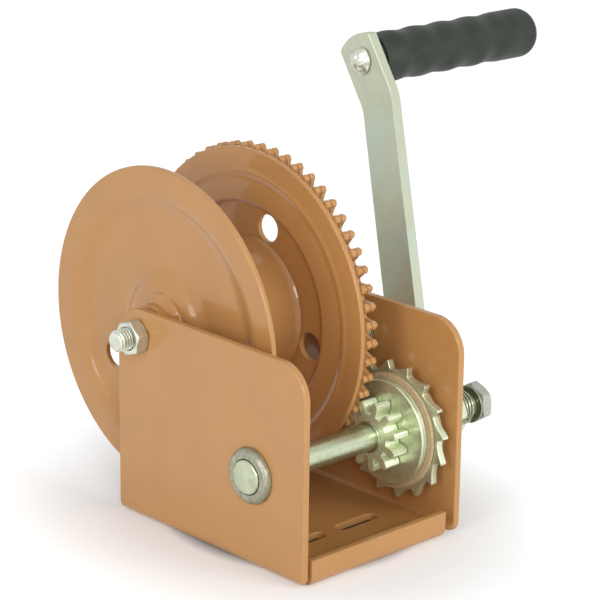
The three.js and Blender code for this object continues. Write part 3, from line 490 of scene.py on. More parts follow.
def linked(name, data):
    """A new object in the scene."""
    obj = bpy.data.objects.new(name, data)
    bpy.context.scene.collection.objects.link(obj)
    return obj


def evaluated(obj):
    """A new mesh of the object after its modifiers."""
    bpy.context.view_layer.update()
    graph = bpy.context.evaluated_depsgraph_get()
    return bpy.data.meshes.new_from_object(obj.evaluated_get(graph))


def held(bm, name="helper"):
    """An object that holds a solid."""
    mesh = bpy.data.meshes.new(name)
    bm.to_mesh(mesh)
    bm.free()
    return linked(name, mesh)


def worked(helper):
    """The helper's mesh after its modifiers, as a new bmesh; the helper goes."""
    bm = opened(evaluated(helper))
    bpy.data.meshes.remove(helper.data)
    return bm


def modified(bm, kind, **settings):
    """A solid after one modifier."""
    helper = held(bm)
    modifier = helper.modifiers.new("work", kind)
    for key, value in settings.items():
        setattr(modifier, key, value)
    return worked(helper)


def combined(bm, others, operation="DIFFERENCE"):
    """A solid cut by, joined with or crossed with others."""
    base = held(bm)
    tools = [held(other) for other in others]
    for tool in tools:
        boolean = base.modifiers.new("combine", "BOOLEAN")
        boolean.operation = operation
        boolean.solver = "EXACT"
        boolean.object = tool
    result = worked(base)
    for tool in tools:
        bpy.data.meshes.remove(tool.data)
    if not result.faces:
        raise RuntimeError("a cut left nothing of its piece")
    bmesh.ops.remove_doubles(result, verts=result.verts, dist=1e-3)
    return result


def joined(first, *others):
    """Several shells in one mesh."""
    for other in others:
        mesh = bpy.data.meshes.new("helper")
        other.to_mesh(mesh)
        other.free()
        first.from_mesh(mesh)
        bpy.data.meshes.remove(mesh)
    return first


def edged(bm, width, segments):
    """Rounds the edges that are sharper than 45 degrees."""
    return modified(
        bm, "BEVEL", width=width, segments=segments, limit_method="ANGLE",
        angle_limit=math.radians(45), use_clamp_overlap=False, miter_outer="MITER_ARC",
    )


def quarter_round(radius):
    """Points round a softened rim: how far each lies from the face and from the rim's inside."""
    return [
        (radius * (1 - math.cos(a)), radius * (1 - math.sin(a)))
        for a in (QUARTER * i / 4 for i in range(5))
    ]


def flared_hole(distance, degrees, start, end):
    """A cutter for a round hole with softened rims in a wall from start to end."""
    radius, flare, past = 7.3, 0.8, 2.0
    rim = quarter_round(flare)
    cutter = turned([
        (start - past, 0), (start - past, radius + flare),
        *[(start + x, radius + r) for x, r in rim], *[(end - x, radius + r) for x, r in rim[::-1]],
        (end + past, radius + flare), (end + past, 0),
    ], 48)
    return moved(cutter, *round_point(distance, degrees))


def pressed(path, sizes):
    """A pressed sheet: the (x, radius) path is its left face, and its rims are softened."""
    sheet = closed_up(spun(line(path, closed=False, segments=6), sizes.steps))
    sheet.normal_update()
    facing = sum(face.normal.x * face.calc_area() for face in sheet.faces)
    if facing > 0:
        bmesh.ops.reverse_faces(sheet, faces=sheet.faces)
    wall = modified(sheet, "SOLIDIFY", thickness=sizes.flange, offset=-1, use_even_offset=True)
    sharp = [e for e in wall.edges if len(e.link_faces) == 2 and e.calc_face_angle() > 1.0]
    bmesh.ops.bevel(
        wall, geom=sharp, offset=0.9, offset_type="OFFSET", segments=4, profile=0.5,
        affect="EDGES", material=-1,
    )
    return wall


def polar(vert):
    """A vertex's distance from the X axis and its angle round it."""
    return math.hypot(vert.co.y, vert.co.z), math.atan2(vert.co.z, vert.co.y)


def drawn_in(vert, limit):
    """Moves a vertex in to a distance from the X axis, where it lies further out."""
    r, _ = polar(vert)
    if r > limit:
        vert.co.y *= limit / r
        vert.co.z *= limit / r


def hexagon(across_flats, start, end, bore=0.0, turn=0.0):
    """A nut or bolt head along X: turned first, with turned corners, then pressed to six sides."""
    corner, face_r = across_flats / math.sqrt(3), 0.47 * across_flats
    blunt, lead_in, slope, parts = 0.12, 0.5, 0.58, 6
    reach = corner - face_r
    chamfer = [
        (slope * reach * i / parts, face_r + reach * i / parts) for i in range(parts + 1)
    ]
    profile = [(start + x, r) for x, r in chamfer] + [(end - x, r) for x, r in chamfer[::-1]]
    if bore:
        profile += [
            (end, bore + lead_in), (end - lead_in, bore),
            (start + lead_in, bore), (start, bore + lead_in),
        ]
    else:
        profile = [(start, 0), *profile, (end, 0)]
    body = turned(profile, FINE_STEPS)
    for vert in body.verts:
        _, a = polar(vert)
        side = across_flats / 2 / math.cos((a + 1e-5) % (math.pi / 3) - math.pi / 6)
        drawn_in(vert, min(side, corner - blunt))
    turning = Matrix.Rotation(math.radians(turn), 3, "X")
    bmesh.ops.rotate(body, verts=body.verts, cent=(0, 0, 0), matrix=turning)
    return body


def threaded(radius, pitch, start, end, tip, steps=64):
    """A thread along X with its ends bevelled by tip."""
    depth = 0.6 * pitch
    first = start - 1.5 * pitch
    corners = []
    for i in range(math.ceil((end - start) / pitch) + 3):
        for share, r in ((0.0, -depth), (0.2, -depth), (0.53, 0), (0.67, 0)):
            corners.append((first + (i + share) * pitch, radius + r))
    bm = spun(line(corners, closed=False), steps, pitch / steps)
    bmesh.ops.remove_doubles(bm, verts=bm.verts, dist=1e-3)
    for place, side in ((start, -1), (end, 1)):
        bmesh.ops.bisect_plane(
            bm, geom=bm.verts[:] + bm.edges[:] + bm.faces[:], plane_co=(place, 0, 0),
            plane_no=(side, 0, 0), clear_outer=True,
        )
    bmesh.ops.holes_fill(bm, edges=[e for e in bm.edges if e.is_boundary], sides=0)
    for vert in bm.verts:
        way_in = min(vert.co.x - start, end - vert.co.x) - 0.01
        drawn_in(vert, radius - 0.85 * tip + max(0.0, way_in))
    bmesh.ops.recalc_face_normals(bm, faces=bm.faces)
    return bm


def coil(first, pitch, coil_r, curls, count, sense=1, begin=0.0):
    """Points of a coil along X, count of them a curl."""
    points = []
    for i in range(int(curls * count) + 1):
        a = begin + sense * math.tau * i / count
        points.append((first + pitch * i / count, coil_r * math.cos(a), coil_r * math.sin(a)))
    return points


def swept(points, radius):
    """Round wire through points, with closed ends."""
    data = bpy.data.curves.new("helper", "CURVE")
    data.dimensions = "3D"
    data.bevel_depth = radius
    data.bevel_resolution = 6
    data.use_fill_caps = True
    spline = data.splines.new("POLY")
    spline.points.add(len(points) - 1)
    for point, place in zip(spline.points, points):
        point.co = (*place, 1)
    bm = opened(evaluated(linked("helper", data)))
    bpy.data.curves.remove(data)
    return closed_up(bm)


def finished(bm, name, body, look, nodes, axis=(0, 0, 0), slot=None, lean=0.0):
    """Puts a solid in its place in metres, shades it and lets it ride and replace its nodes."""
    bm.transform(
        Matrix.Scale(MM, 4) @ Matrix.Translation((0, axis[1], axis[2]))
        @ Matrix.Rotation(-lean, 4, "X")
    )
    obj = held(bm, name)
    mesh = obj.data
    mesh.shade_smooth()
    mesh.set_sharp_from_angle(angle=math.radians(32))
    obj.modifiers.new("even light", "WEIGHTED_NORMAL").keep_sharp = True
    shaded = evaluated(obj)
    obj.modifiers.clear()
    obj.data = shaded
    bpy.data.meshes.remove(mesh)
    shaded.name = name
    shaded.materials.clear()
    shaded.materials.append(finish(look))
    slot = slot or FINISHES[look][0]
    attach(obj, body)
    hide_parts(*nodes)


def ring(node_name, name, body, look, axis, edge, steps=None, slot=None):
    """A plain turned ring in a CAD node's place, with softened corners."""
    start, end, outer, inner = measured(node_name, axis)
    bm = turned([
        (start, inner, edge), (start, outer, edge), (end, outer, edge), (end, inner, edge),
    ], steps, 3)
    finished(bm, name, body, look, [node_name], axis, slot)


# Pieces


def folded(way, radius, depth):
    """How far along and up a point lands that lies a way past the start of a fold."""
    angle = min(way / radius, QUARTER)
    past = max(0.0, way - radius * QUARTER)
    inner = radius - depth
    return inner * math.sin(angle), radius - inner * math.cos(angle) + past


class WINCH_OT_side_frame(bpy.types.Operator):
    """Make the bent sheet frame with its lip, slots and bearing holes"""

    bl_idname = "winch.side_frame"
    bl_label = "Side frame"
    bl_options = {"REGISTER", "UNDO"}

    def execute(self, context):
        sizes = context.scene.winch_sizes
        low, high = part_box("side_frame")
        side, top, back = high.x / MM, high.z / MM, high.y / MM
        lip_face = low.y / MM
        front = lip_face + 1  # the plates' front edges lie just behind the lip
        bend, lip_bend, lip_top = 6.0, 5.0, 14.0
        fold, lip_fold = bend * QUARTER, lip_bend * QUARTER
        flat = side - bend
        reach = flat + fold + top - bend
        lip_start = lip_face + lip_bend
        lip_end = lip_start - lip_fold - (lip_top - lip_bend)
        notch, notch_back, corner = side - 4.4, front + 6, 18
        lip_left, lip_right = 5.8 - side, side - 11.2
        blank = [
            (-reach - 0.7, front, corner), (-notch, front, 5.5), (-notch, notch_back),
            (lip_left, notch_back), (lip_left, lip_end), (lip_right, lip_end),
            (lip_right, notch_back), (notch, notch_back), (notch, front, 5.5),
            (reach + 0.7, front, corner), (reach + 1.8, back, corner), (-reach - 1.8, back, corner),
        ]
        openings = []
        for sign in (-1, 1):
            openings.append(opening(sign * 18.5, front + 38, 14, 3.5))
            openings.append(opening(sign * (side - 28), back - 22, 5.5, 5.5))
        for sign, axis, radius in (
            (-1, DRUM, 6.0), (1, DRUM, 6.0), (-1, SHAFT, 11.8), (1, SHAFT, 16.6), (1, PAWL, 3.3),
        ):
            up = sign * (flat + fold + axis.z - bend)
            openings.append(opening(up, axis.y, radius, radius))
        sheet = plate(blank, openings, "Z", 0, sizes.sheet, sizes.edge, 12)
        cuts = [(sign * (flat + fold * i / 8), 0) for sign in (-1, 1) for i in range(9)]
        cuts += [(0, lip_start - lip_fold * i / 8) for i in range(9)]
        for u, v in cuts:
            bmesh.ops.bisect_plane(
                sheet, geom=sheet.verts[:] + sheet.edges[:] + sheet.faces[:],
                plane_co=(u, v, 0), plane_no=(1, 0, 0) if u else (0, 1, 0),
            )
        for vert in sheet.verts:
            u, v, depth = vert.co
            over, before = abs(u) - flat, lip_start - v
            if over > 0.5:
                along, up = folded(over, bend, depth)
                vert.co = (math.copysign(flat + along, u), v, up)
            elif before > 0:
                along, up = folded(before, lip_bend, depth)
                vert.co = (u, lip_start - along, up)
        finished(closed_up(sheet), "frame_sheet", "frame", "paint", ["side_frame"])
        return {"FINISHED"}


def weld_bead(face, radius):
    """A lumpy bead of weld round a tube, laid against a face at its left."""
    foot = radius - 0.35
    bead = turned([
        (face + 0.6, foot), (face + 0.1, radius + 5.2, 0.8), (face - 1.7, radius + 2.6, 1.6),
        (face - 3.0, foot, 0.4),
    ], 144)
    for vert in bead.verts:
        r, a = polar(vert)
        lump = 0.3 * math.sin(9 * a) + 0.35 * math.sin(5 * a + 1) + 0.12 * math.sin(23 * a + 2)
        lump *= max(0.0, min(1.0, (r - foot) / 1.6))
        vert.co.x -= lump * 0.7
        vert.co.y *= 1 + lump * 0.6 / r
        vert.co.z *= 1 + lump * 0.6 / r
    return bead


class WINCH_OT_drum(bpy.types.Operator):
    """Make the drum: two pressed flanges, the barrel between them and its tube"""

    bl_idname = "winch.drum"
    bl_label = "Drum"
    bl_options = {"REGISTER", "UNDO"}

    def execute(self, context):
        sizes = context.scene.winch_sizes
        low, high, outer, bore = measured("drum_flange_left", DRUM)
        web = high - sizes.flange
        well = web - 4.4
        left = pressed([
            (low, outer + 0.7), (low, 70.4, 4.0), (web, 63.8, 4.0), (web, 31.2, 4.0),
            (well, 23.6, 3.0), (well, bore),
        ], sizes)
        left = combined(left, [flared_hole(49.2, -29.8, web, high)])
        left = joined(left, weld_bead(well, bore))
        finished(left, "flange_left_pressed", "drum", "paint", ["drum_flange_left"], DRUM)

        low, high, outer, bore = measured("drum_flange_right", DRUM)
        face, web = low + 1.3, high - sizes.flange
        right = pressed([
            (face, outer + 1.0), (face, 75.6, 1.2), (face - 0.8, 73.6, 1.0),
            (face + 0.5, 70.2, 1.4), (low, 58.4, 0.8), (web, 56.4, 1.0), (web, bore),
        ], sizes)
        right = combined(right, [flared_hole(46.6, 14.7 + 90 * i, web, high) for i in range(4)])
        finished(right, "flange_right_pressed", "drum", "paint", ["drum_flange_right"], DRUM)

        low, high, outer, bore = measured("drum_core", DRUM)
        barrel = 35.5
        flare = outer - barrel
        core = turned([
            (low, bore), (low, outer), (low + 0.25, outer), (low + flare, barrel, 8.0),
            (high - flare, barrel, 8.0), (high - 0.25, outer), (high, outer), (high, bore),
        ], sizes.steps, 8)
        finished(core, "barrel", "drum", "paint", ["drum_core"], DRUM)
        ring("drum_hub", "drum_tube", "drum", "paint", DRUM, 0.6)
        ring("drum_bush_left", "drum_bearing_left", "drum", "bronze", DRUM, 0.6)
        ring("drum_bush_right", "drum_bearing_right", "drum", "bronze", DRUM, 0.6)
        return {"FINISHED"}


def toothed(inset, teeth, tip, root, phase, crown, fillet, stout=99.0, broad=0.0, undercut=0.0):
    """Points round a wheel of involute teeth of module 3, its outline drawn in by inset.

    Past the radius stout the teeth get no thinner, all over they are broader by broad, and
    below the base circle they lose undercut for each millimetre.
    """
    backlash, thinnest = 0.15, 0.04
    pitch_r, pressure = 1.5 * teeth, math.radians(20)
    base = pitch_r * math.cos(pressure)
    half_pitch = math.pi / (2 * teeth) - backlash / pitch_r
    tip, root = tip - inset, root - inset

    def half(r):
        a = math.acos(base / max(base, min(r, stout)))
        wide = (half_pitch + math.tan(pressure) - pressure - (math.tan(a) - a)) * r - inset
        wide += broad - undercut * max(0, base - r)
        rise, fall = r - (tip - crown), root + fillet - r
        if rise > 0:
            wide = min(wide, math.sqrt(max(0.0, crown * crown - rise * rise)))
        if fall > 0:
            wide += fillet - math.sqrt(max(0.0, fillet * fillet - fall * fall))
        return max(thinnest, wide) / r

    radii = [root + fillet * (1 - math.cos(a)) for a in (0, 0.5, 1.05, QUARTER)]
    reach = tip - crown - root - fillet
    radii += [root + fillet + reach * share for share in (0.33, 0.66, 1)]
    radii += [tip - crown * (1 - math.sin(a)) for a in (0.5, 0.95, 1.3, QUARTER)]
    points = []
    for i in range(teeth):
        middle = phase + i * math.tau / teeth
        for side, order in ((-1, radii), (1, radii[::-1])):
            for r in order:
                a = middle + side * half(r)
                points.append((r * math.cos(a), r * math.sin(a)))
    return points


def toothed_wheel(bore, start, end, soft, **teeth):
    """A toothed wheel along X whose rims are rounded by soft."""
    rim = quarter_round(soft)
    bm = bmesh.new()
    loop = []
    for x, inset in [(start + x, r) for x, r in rim] + [(end - x, r) for x, r in rim[::-1]]:
        outline = toothed(inset, **teeth)
        if not loop:
            loop = [bm.verts.new((x, y, z)) for y, z in outline]
            edges = [bm.edges.new((a, b)) for a, b in zip(loop, loop[1:] + loop[:1])]
            continue
        out = bmesh.ops.extrude_edge_only(bm, edges=edges)["geom"]
        edges, made = only(out, BMEdge), set(only(out, BMVert))
        loop = [
            next(e.other_vert(v) for e in v.link_edges if e.other_vert(v) in made) for v in loop
        ]
        for vert, (y, z) in zip(loop, outline):
            vert.co = (x, y, z)
    inner = bmesh.new()
    bmesh.ops.create_circle(
        inner, segments=FINE_STEPS, radius=bore,
        matrix=Matrix.Translation((start, 0, 0)) @ Matrix.Rotation(QUARTER, 4, "Y"),
    )
    out = bmesh.ops.extrude_edge_only(inner, edges=inner.edges[:])["geom"]
    bmesh.ops.translate(inner, verts=only(out, BMVert), vec=(end - start, 0, 0))
    bm = joined(bm, inner)
    for place in (start, end):
        rims = [e for e in bm.edges if e.is_boundary and abs(e.verts[0].co.x - place) < 1e-4]
        bmesh.ops.triangle_fill(bm, edges=rims, use_beauty=True)
    return closed_up(bm)


class WINCH_OT_gear(bpy.types.Operator):
    """Make the two toothed plates of the drum's gear"""

    bl_idname = "winch.gear"
    bl_label = "Gear"
    bl_options = {"REGISTER", "UNDO"}

    def execute(self, context):
        sizes = context.scene.winch_sizes
        for name in ("gear_plate_inner", "gear_plate_outer"):
            low, high, tip, bore = measured(name, DRUM)
            wheel = toothed_wheel(
                bore, low, high, sizes.tooth_edge, teeth=GEAR_TEETH, tip=tip + 1.2, root=80.6,
                phase=GEAR_PHASE, crown=1.5, fillet=0.9, stout=84.9, broad=0.28,
            )
            finished(wheel, name + "_painted", "drum", "paint", [name], DRUM)
        return {"FINISHED"}


def pinion_phase():
    """The angle of one pinion tooth, which puts a tooth in the gear's nearest gap."""
    lean = math.atan2(DRUM.z - SHAFT.z, DRUM.y - SHAFT.y)
    pitch = math.tau / GEAR_TEETH
    towards = math.pi + lean
    gaps = round((towards - GEAR_PHASE) / pitch - 0.5) + 0.5
    return lean - (GEAR_PHASE + gaps * pitch - towards) * GEAR_TEETH / PINION_TEETH


class WINCH_OT_pinion_shaft(bpy.types.Operator):
    """Make the stepped shaft with its pinion and threaded end"""

    bl_idname = "winch.pinion_shaft"
    bl_label = "Pinion shaft"
    bl_options = {"REGISTER", "UNDO"}

    def execute(self, context):
        sizes = context.scene.winch_sizes
        low, high, journal, _ = measured("pinion_shaft", SHAFT)
        inside = span("side_frame")[0] + sizes.sheet + 2
        start, end, tip, bore = measured("pinion", SHAFT)
        hub_end = span("crank_hub")[1]
        middle_r, collar_r, thread_r, step = 7.05, 8.4, 6.6, 49
        shaft = turned([
            (low, 0), (low, journal, 0.9), (inside, journal, 0.6), (inside, middle_r),
            (start - 1.6, middle_r), (start - 1.6, collar_r, 0.5), (start - 0.05, collar_r, 0.3),
            (start - 0.05, middle_r), (step, middle_r), (step, thread_r), (hub_end, thread_r),
            (hub_end, 0),
        ], segments=4)
        shaft = joined(shaft, threaded(thread_r, sizes.pitch, hub_end, high, 1.3))
        finished(shaft, "stepped_shaft", "shaft", "shaft_zinc", ["pinion_shaft"], SHAFT)
        # The pinion's finish is lightened to paint in the highlights on its lit teeth.
        pinion = toothed_wheel(
            bore, start, end, 0.3, teeth=PINION_TEETH, tip=tip, root=11.7, phase=pinion_phase(),
            crown=0.35, fillet=0.7, undercut=0.03,
        )
        finished(pinion, "pinion_teeth", "shaft", "pinion_zinc_painted_highlight", ["pinion"], SHAFT)
        return {"FINISHED"}


class WINCH_OT_bushes(bpy.types.Operator):
    """Make the two flanged bushes of the shaft"""

    bl_idname = "winch.bushes"
    bl_label = "Shaft bushes"
    bl_options = {"REGISTER", "UNDO"}

    def execute(self, context):
        low, high, rim, bore = measured("shaft_bush_left", SHAFT)
        seat, sleeve = span("side_frame")[0] - 0.3, 11.5
        left = turned([
            (low, bore, 0.4), (low, rim - 2.2, 0.5), (low + 1.5, rim - 0.6, 0.5),
            (seat, rim, 0.35), (seat, sleeve), (high, sleeve, 0.5), (high, bore, 0.4),
        ], segments=4)
        finished(left, "turned_bush_left", "frame", "steel", ["shaft_bush_left"], SHAFT)
        low, high, rim, bore = measured("shaft_bush_right", SHAFT)
        seat, sleeve = high - 1.7, 16.3
        right = turned([
            (low, bore, 0.4), (low, sleeve, 0.4), (seat, sleeve), (seat, rim, 0.4),
            (high, rim, 0.4), (high, bore, 0.4),
        ], segments=4)
        finished(right, "turned_bush_right", "frame", "bronze", ["shaft_bush_right"], SHAFT)
        return {"FINISHED"}


class WINCH_OT_axle(bpy.types.Operator):
    """Make the drum's through bolt with its nut, washer and spacers"""

    bl_idname = "winch.axle"
    bl_label = "Drum axle"
    bl_options = {"REGISTER", "UNDO"}

    def execute(self, context):
        sizes = context.scene.winch_sizes
        low, high = span("axle_bolt")
        nut_left, nut_right = span("axle_nut")
        head, radius = high - 7.5, 5.7
        bolt = joined(
            threaded(radius, sizes.pitch, low, nut_right, 1.4),
            rod(radius, nut_right, head + 1), hexagon(18, head, high),
        )
        finished(bolt, "axle_bolt_plated", "frame", "bright_zinc", ["axle_bolt"], DRUM)
        nut = hexagon(16.5, nut_left, nut_right, 5.9, 44)
        finished(nut, "axle_nut_plated", "frame", "bright_zinc", ["axle_nut"], DRUM)
        for name in ("axle_washer", "axle_spacer_left", "axle_spacer_right"):
            ring(name, name + "_plated", "frame", "bright_zinc", DRUM, 0.35)
        return {"FINISHED"}


class WINCH_OT_brake(bpy.types.Operator):
    """Make the brake: pressure flange, linings, ratchet wheel, its bush and the plate"""

    bl_idname = "winch.brake"
    bl_label = "Brake"
    bl_options = {"REGISTER", "UNDO"}

    def execute(self, context):
        low, high, rim, bore = measured("pressure_flange", SHAFT)
        groove = rim - 0.45
        flange = turned([
            (low, bore), (low, rim - 0.55, 0.15), (low + 0.55, rim, 0.15),
            (high - 1.3, rim, 0.1), (high - 1.1, groove, 0.1), (high - 0.7, groove, 0.1),
            (high - 0.5, rim, 0.1), (high, rim - 0.2, 0.1), (high, bore),
        ], FINE_STEPS, 4)
        finished(
            flange, "pressure_flange_turned", "shaft", "brake_zinc", ["pressure_flange"], SHAFT
        )
        for name in ("lining_left", "lining_right"):
            ring(name, name + "_rough", "ratchet", "lining", SHAFT, 0.3, FINE_STEPS)
        ring(
            "pressure_plate", "pressure_plate_turned", "shaft", "brake_zinc", SHAFT, 0.4, FINE_STEPS
        )
        ring("ratchet_bush", "ratchet_bush_turned", "shaft", "bronze", SHAFT, 0.3)
        low, high, tip, bore = measured("ratchet_wheel", SHAFT)
        teeth, first, root = 16, 16.2, 32.3
        outline = []
        for i in range(teeth):
            at = first + 360 / teeth * i
            outline += [
                round_point(tip, at - 1.8, 0.25), round_point(tip, at, 0.2),
                round_point(root, at + 2.0, 1.1), round_point(root + 0.25, at + 7.5),
                round_point(root + 1.4, at + 13.5),
            ]
        wheel = plate(outline, [opening(0, 0, bore, bore)], "X", low, high, 0.45)
        finished(wheel, "ratchet_wheel_plated", "ratchet", "brake_zinc", ["ratchet_wheel"], SHAFT)
        return {"FINISHED"}


class WINCH_OT_pawl(bpy.types.Operator):
    """Make the pawl with its bolt, nut, sleeve and spring"""

    bl_idname = "winch.pawl"
    bl_label = "Pawl"
    bl_options = {"REGISTER", "UNDO"}

    def execute(self, context):
        sizes = context.scene.winch_sizes
        low, high, _, bore = measured("pawl", PAWL)
        lift = Matrix.Rotation(math.radians(8), 2)

        def on_wheel(r, degrees):
            y, z = round_point(r, degrees)
            return lift @ Vector((y + SHAFT.y - PAWL.y, z + SHAFT.z - PAWL.z))

        foot, tip = on_wheel(32.3, 18.2), on_wheel(36.9, 16.2)
        out = (tip - foot).normalized()
        nose = foot + out * 0.85 + Vector((-out.y, out.x)) * 0.4
        nose_out, knee = nose + out * 4.2, on_wheel(38.1, 38.7)
        boss_r = 8
        boss = lift @ Vector((boss_r, 0))
        arm = drawn(
            [(*nose, 0.4), (*nose_out, 0.5), (*boss,), (*-boss,), (*knee, 1.0)], "X", low, high
        )
        body = combined(arm, [rod(boss_r, low, high, 64)], "UNION")
        body = combined(body, [rod(bore, low - 1, high + 1, 48)])
        body = edged(body, sizes.steel_edge, 2)
        finished(body, "pawl_plated", "pawl", "brake_zinc", ["pawl"], PAWL)

        low, high = span("pawl_bolt")
        nut_left, nut_right = span("pawl_nut")
        head, radius = low + 4, 3
        bolt = joined(
            hexagon(10, low, head), rod(radius, head - 1, nut_left, 48),
            threaded(radius, 1.0, nut_left, high, 0.6, 48),
        )
        finished(bolt, "pawl_bolt_plated", "frame", "bright_zinc", ["pawl_bolt"], PAWL)
        nut = hexagon(10, nut_left, nut_right, 3.1)
        finished(nut, "pawl_nut_plated", "frame", "bright_zinc", ["pawl_nut"], PAWL)
        ring("pawl_sleeve", "pawl_sleeve_plated", "frame", "bright_zinc", PAWL, 0.3)

        start, end = span("pawl_spring")
        pitch, coil_r, wire_r, curls, leg = 1.45, 6.3, 0.5, 2, 9.8
        first = (start + end - curls * pitch) / 2
        points = coil(first, pitch, coil_r, curls, 24)
        toe = [(start, coil_r, -leg), (start + 1, coil_r, -leg), (first, coil_r, -9)]
        heel = [(points[-1][0], coil_r, 9), (end - 1, coil_r, leg), (end, coil_r, leg)]
        spring = swept(toe + points + heel, wire_r)
        finished(spring, "pawl_spring_wound", "frame", "wire", ["pawl_spring"], PAWL)
        return {"FINISHED"}


class WINCH_OT_crank_hub(bpy.types.Operator):
    """Make the crank's threaded hub and its outer collar"""

    bl_idname = "winch.crank_hub"
    bl_label = "Crank hub"
    bl_options = {"REGISTER", "UNDO"}

    def execute(self, context):
        low, high, sleeve, bore = measured("crank_hub", SHAFT)
        neck, neck_r = span("crank_arm")[0] - 0.3, 9
        hub = turned([
            (low, bore, 0.4), (low, sleeve, 0.6), (neck, sleeve, 0.6), (neck, neck_r),
            (high, neck_r, 0.5), (high, bore, 0.4),
        ], FINE_STEPS, 4)
        finished(hub, "hub_sleeve", "crank", "brake_zinc", ["crank_hub"], SHAFT)
        low, high, outer, bore = measured("hub_collar", SHAFT)
        collar = turned([
            (low, bore), (low, outer, 0.6), (high, outer, 0.9), (high, bore),
        ], FINE_STEPS, 4)
        finished(collar, "hub_collar_turned", "crank", "brake_zinc", ["hub_collar"], SHAFT)
        return {"FINISHED"}


class WINCH_OT_crank_arm(bpy.types.Operator):
    """Make the crank's bent flat bar"""

    bl_idname = "winch.crank_arm"
    bl_label = "Crank arm"
    bl_options = {"REGISTER", "UNDO"}

    def execute(self, context):
        foot, top = span("crank_arm")
        top -= BAR_THICK
        half, end_r, hub_hole, pin_hole = 12.8, 24, 9.3, 5.3
        low_bend, high_bend, crest = 20.0, CRANK_THROW - 24.3, CRANK_THROW + 14.7
        slope = math.atan2(top - foot, high_bend - low_bend)
        drop = BAR_THICK * math.tan(slope / 2)
        edge_on = drawn([
            (foot, -30), (foot, low_bend, 3.2), (top, high_bend, 3.2), (top, crest + 5),
            (top + BAR_THICK, crest + 5), (top + BAR_THICK, high_bend - drop, 4.3),
            (foot + BAR_THICK, low_bend - drop, 2.2), (foot + BAR_THICK, -30),
        ], "Y", -half - 1, half + 1)
        lower = [math.pi + math.pi * i / 20 for i in range(21)]
        outline = [(half * math.cos(a), half * math.sin(a)) for a in lower]
        spread = math.asin(half / end_r)
        upper = [spread - 2 * spread * i / 12 for i in range(13)]
        outline += [(end_r * math.sin(a), crest - end_r + end_r * math.cos(a)) for a in upper]
        face_on = drawn(outline, "X", foot - 1, top + BAR_THICK + 1)
        bar = combined(edge_on, [face_on], "INTERSECT")
        bar = combined(bar, [
            rod(hub_hole, foot - 2, foot + 9, 64),
            moved(rod(pin_hole, top - 2, top + 9, 64), z=CRANK_THROW),
        ])
        bmesh.ops.dissolve_limit(
            bar, angle_limit=math.radians(0.5), verts=bar.verts, edges=bar.edges
        )
        bar = edged(bar, 0.7, 3)
        finished(bar, "crank_bar", "crank", "bar", ["crank_arm"], SHAFT, lean=CRANK_LEAN)
        return {"FINISHED"}


class WINCH_OT_crank_spring(bpy.types.Operator):
    """Make the retaining spring on the shaft's end"""

    bl_idname = "winch.crank_spring"
    bl_label = "Crank spring"
    bl_options = {"REGISTER", "UNDO"}

    def execute(self, context):
        start, end = span("crank_spring")
        wire_r, curls, coil_r, pitch = 0.85, 4.5, 8.15, 2.15
        first = start + wire_r
        points = coil(first, pitch, coil_r, curls, 32, -1, math.pi)
        # The leg swings out past the collar and runs back along it to the bar.
        leg = [(span("crank_arm")[0] + 8.5, -14.66, -2.06)]
        swing = ((1.6, 14.8, 188), (0.8, 14.6, 188), (0, 14.0, 187), (0, 12.5, 185), (0, 10.0, 182))
        leg += [(first - back, *round_point(r, degrees)) for back, r, degrees in swing]
        x, y, z = points[-1]
        turn_in = [
            (x + 0.15, y, z - 0.6), (x + 0.6, y, z - 1.1), (x + 1.3, y, z - 1.4), (end, y, z - 1.4)
        ]
        spring = swept(leg + points + turn_in, wire_r)
        finished(spring, "retaining_spring", "shaft", "wire", ["crank_spring"], SHAFT)
        return {"FINISHED"}


class WINCH_OT_end_nut(bpy.types.Operator):
    """Make the washer and the hex nut on the shaft's end"""

    bl_idname = "winch.end_nut"
    bl_label = "End nut"
    bl_options = {"REGISTER", "UNDO"}

    def execute(self, context):
        ring("spring_washer", "end_washer", "shaft", "wire", SHAFT, 0.3, slot="zinc")
        low, high, _, bore = measured("crank_nut", SHAFT)
        nut = hexagon(20, low, high, bore, 26)
        finished(nut, "end_nut", "shaft", "nut_zinc", ["crank_nut"], SHAFT)
        return {"FINISHED"}


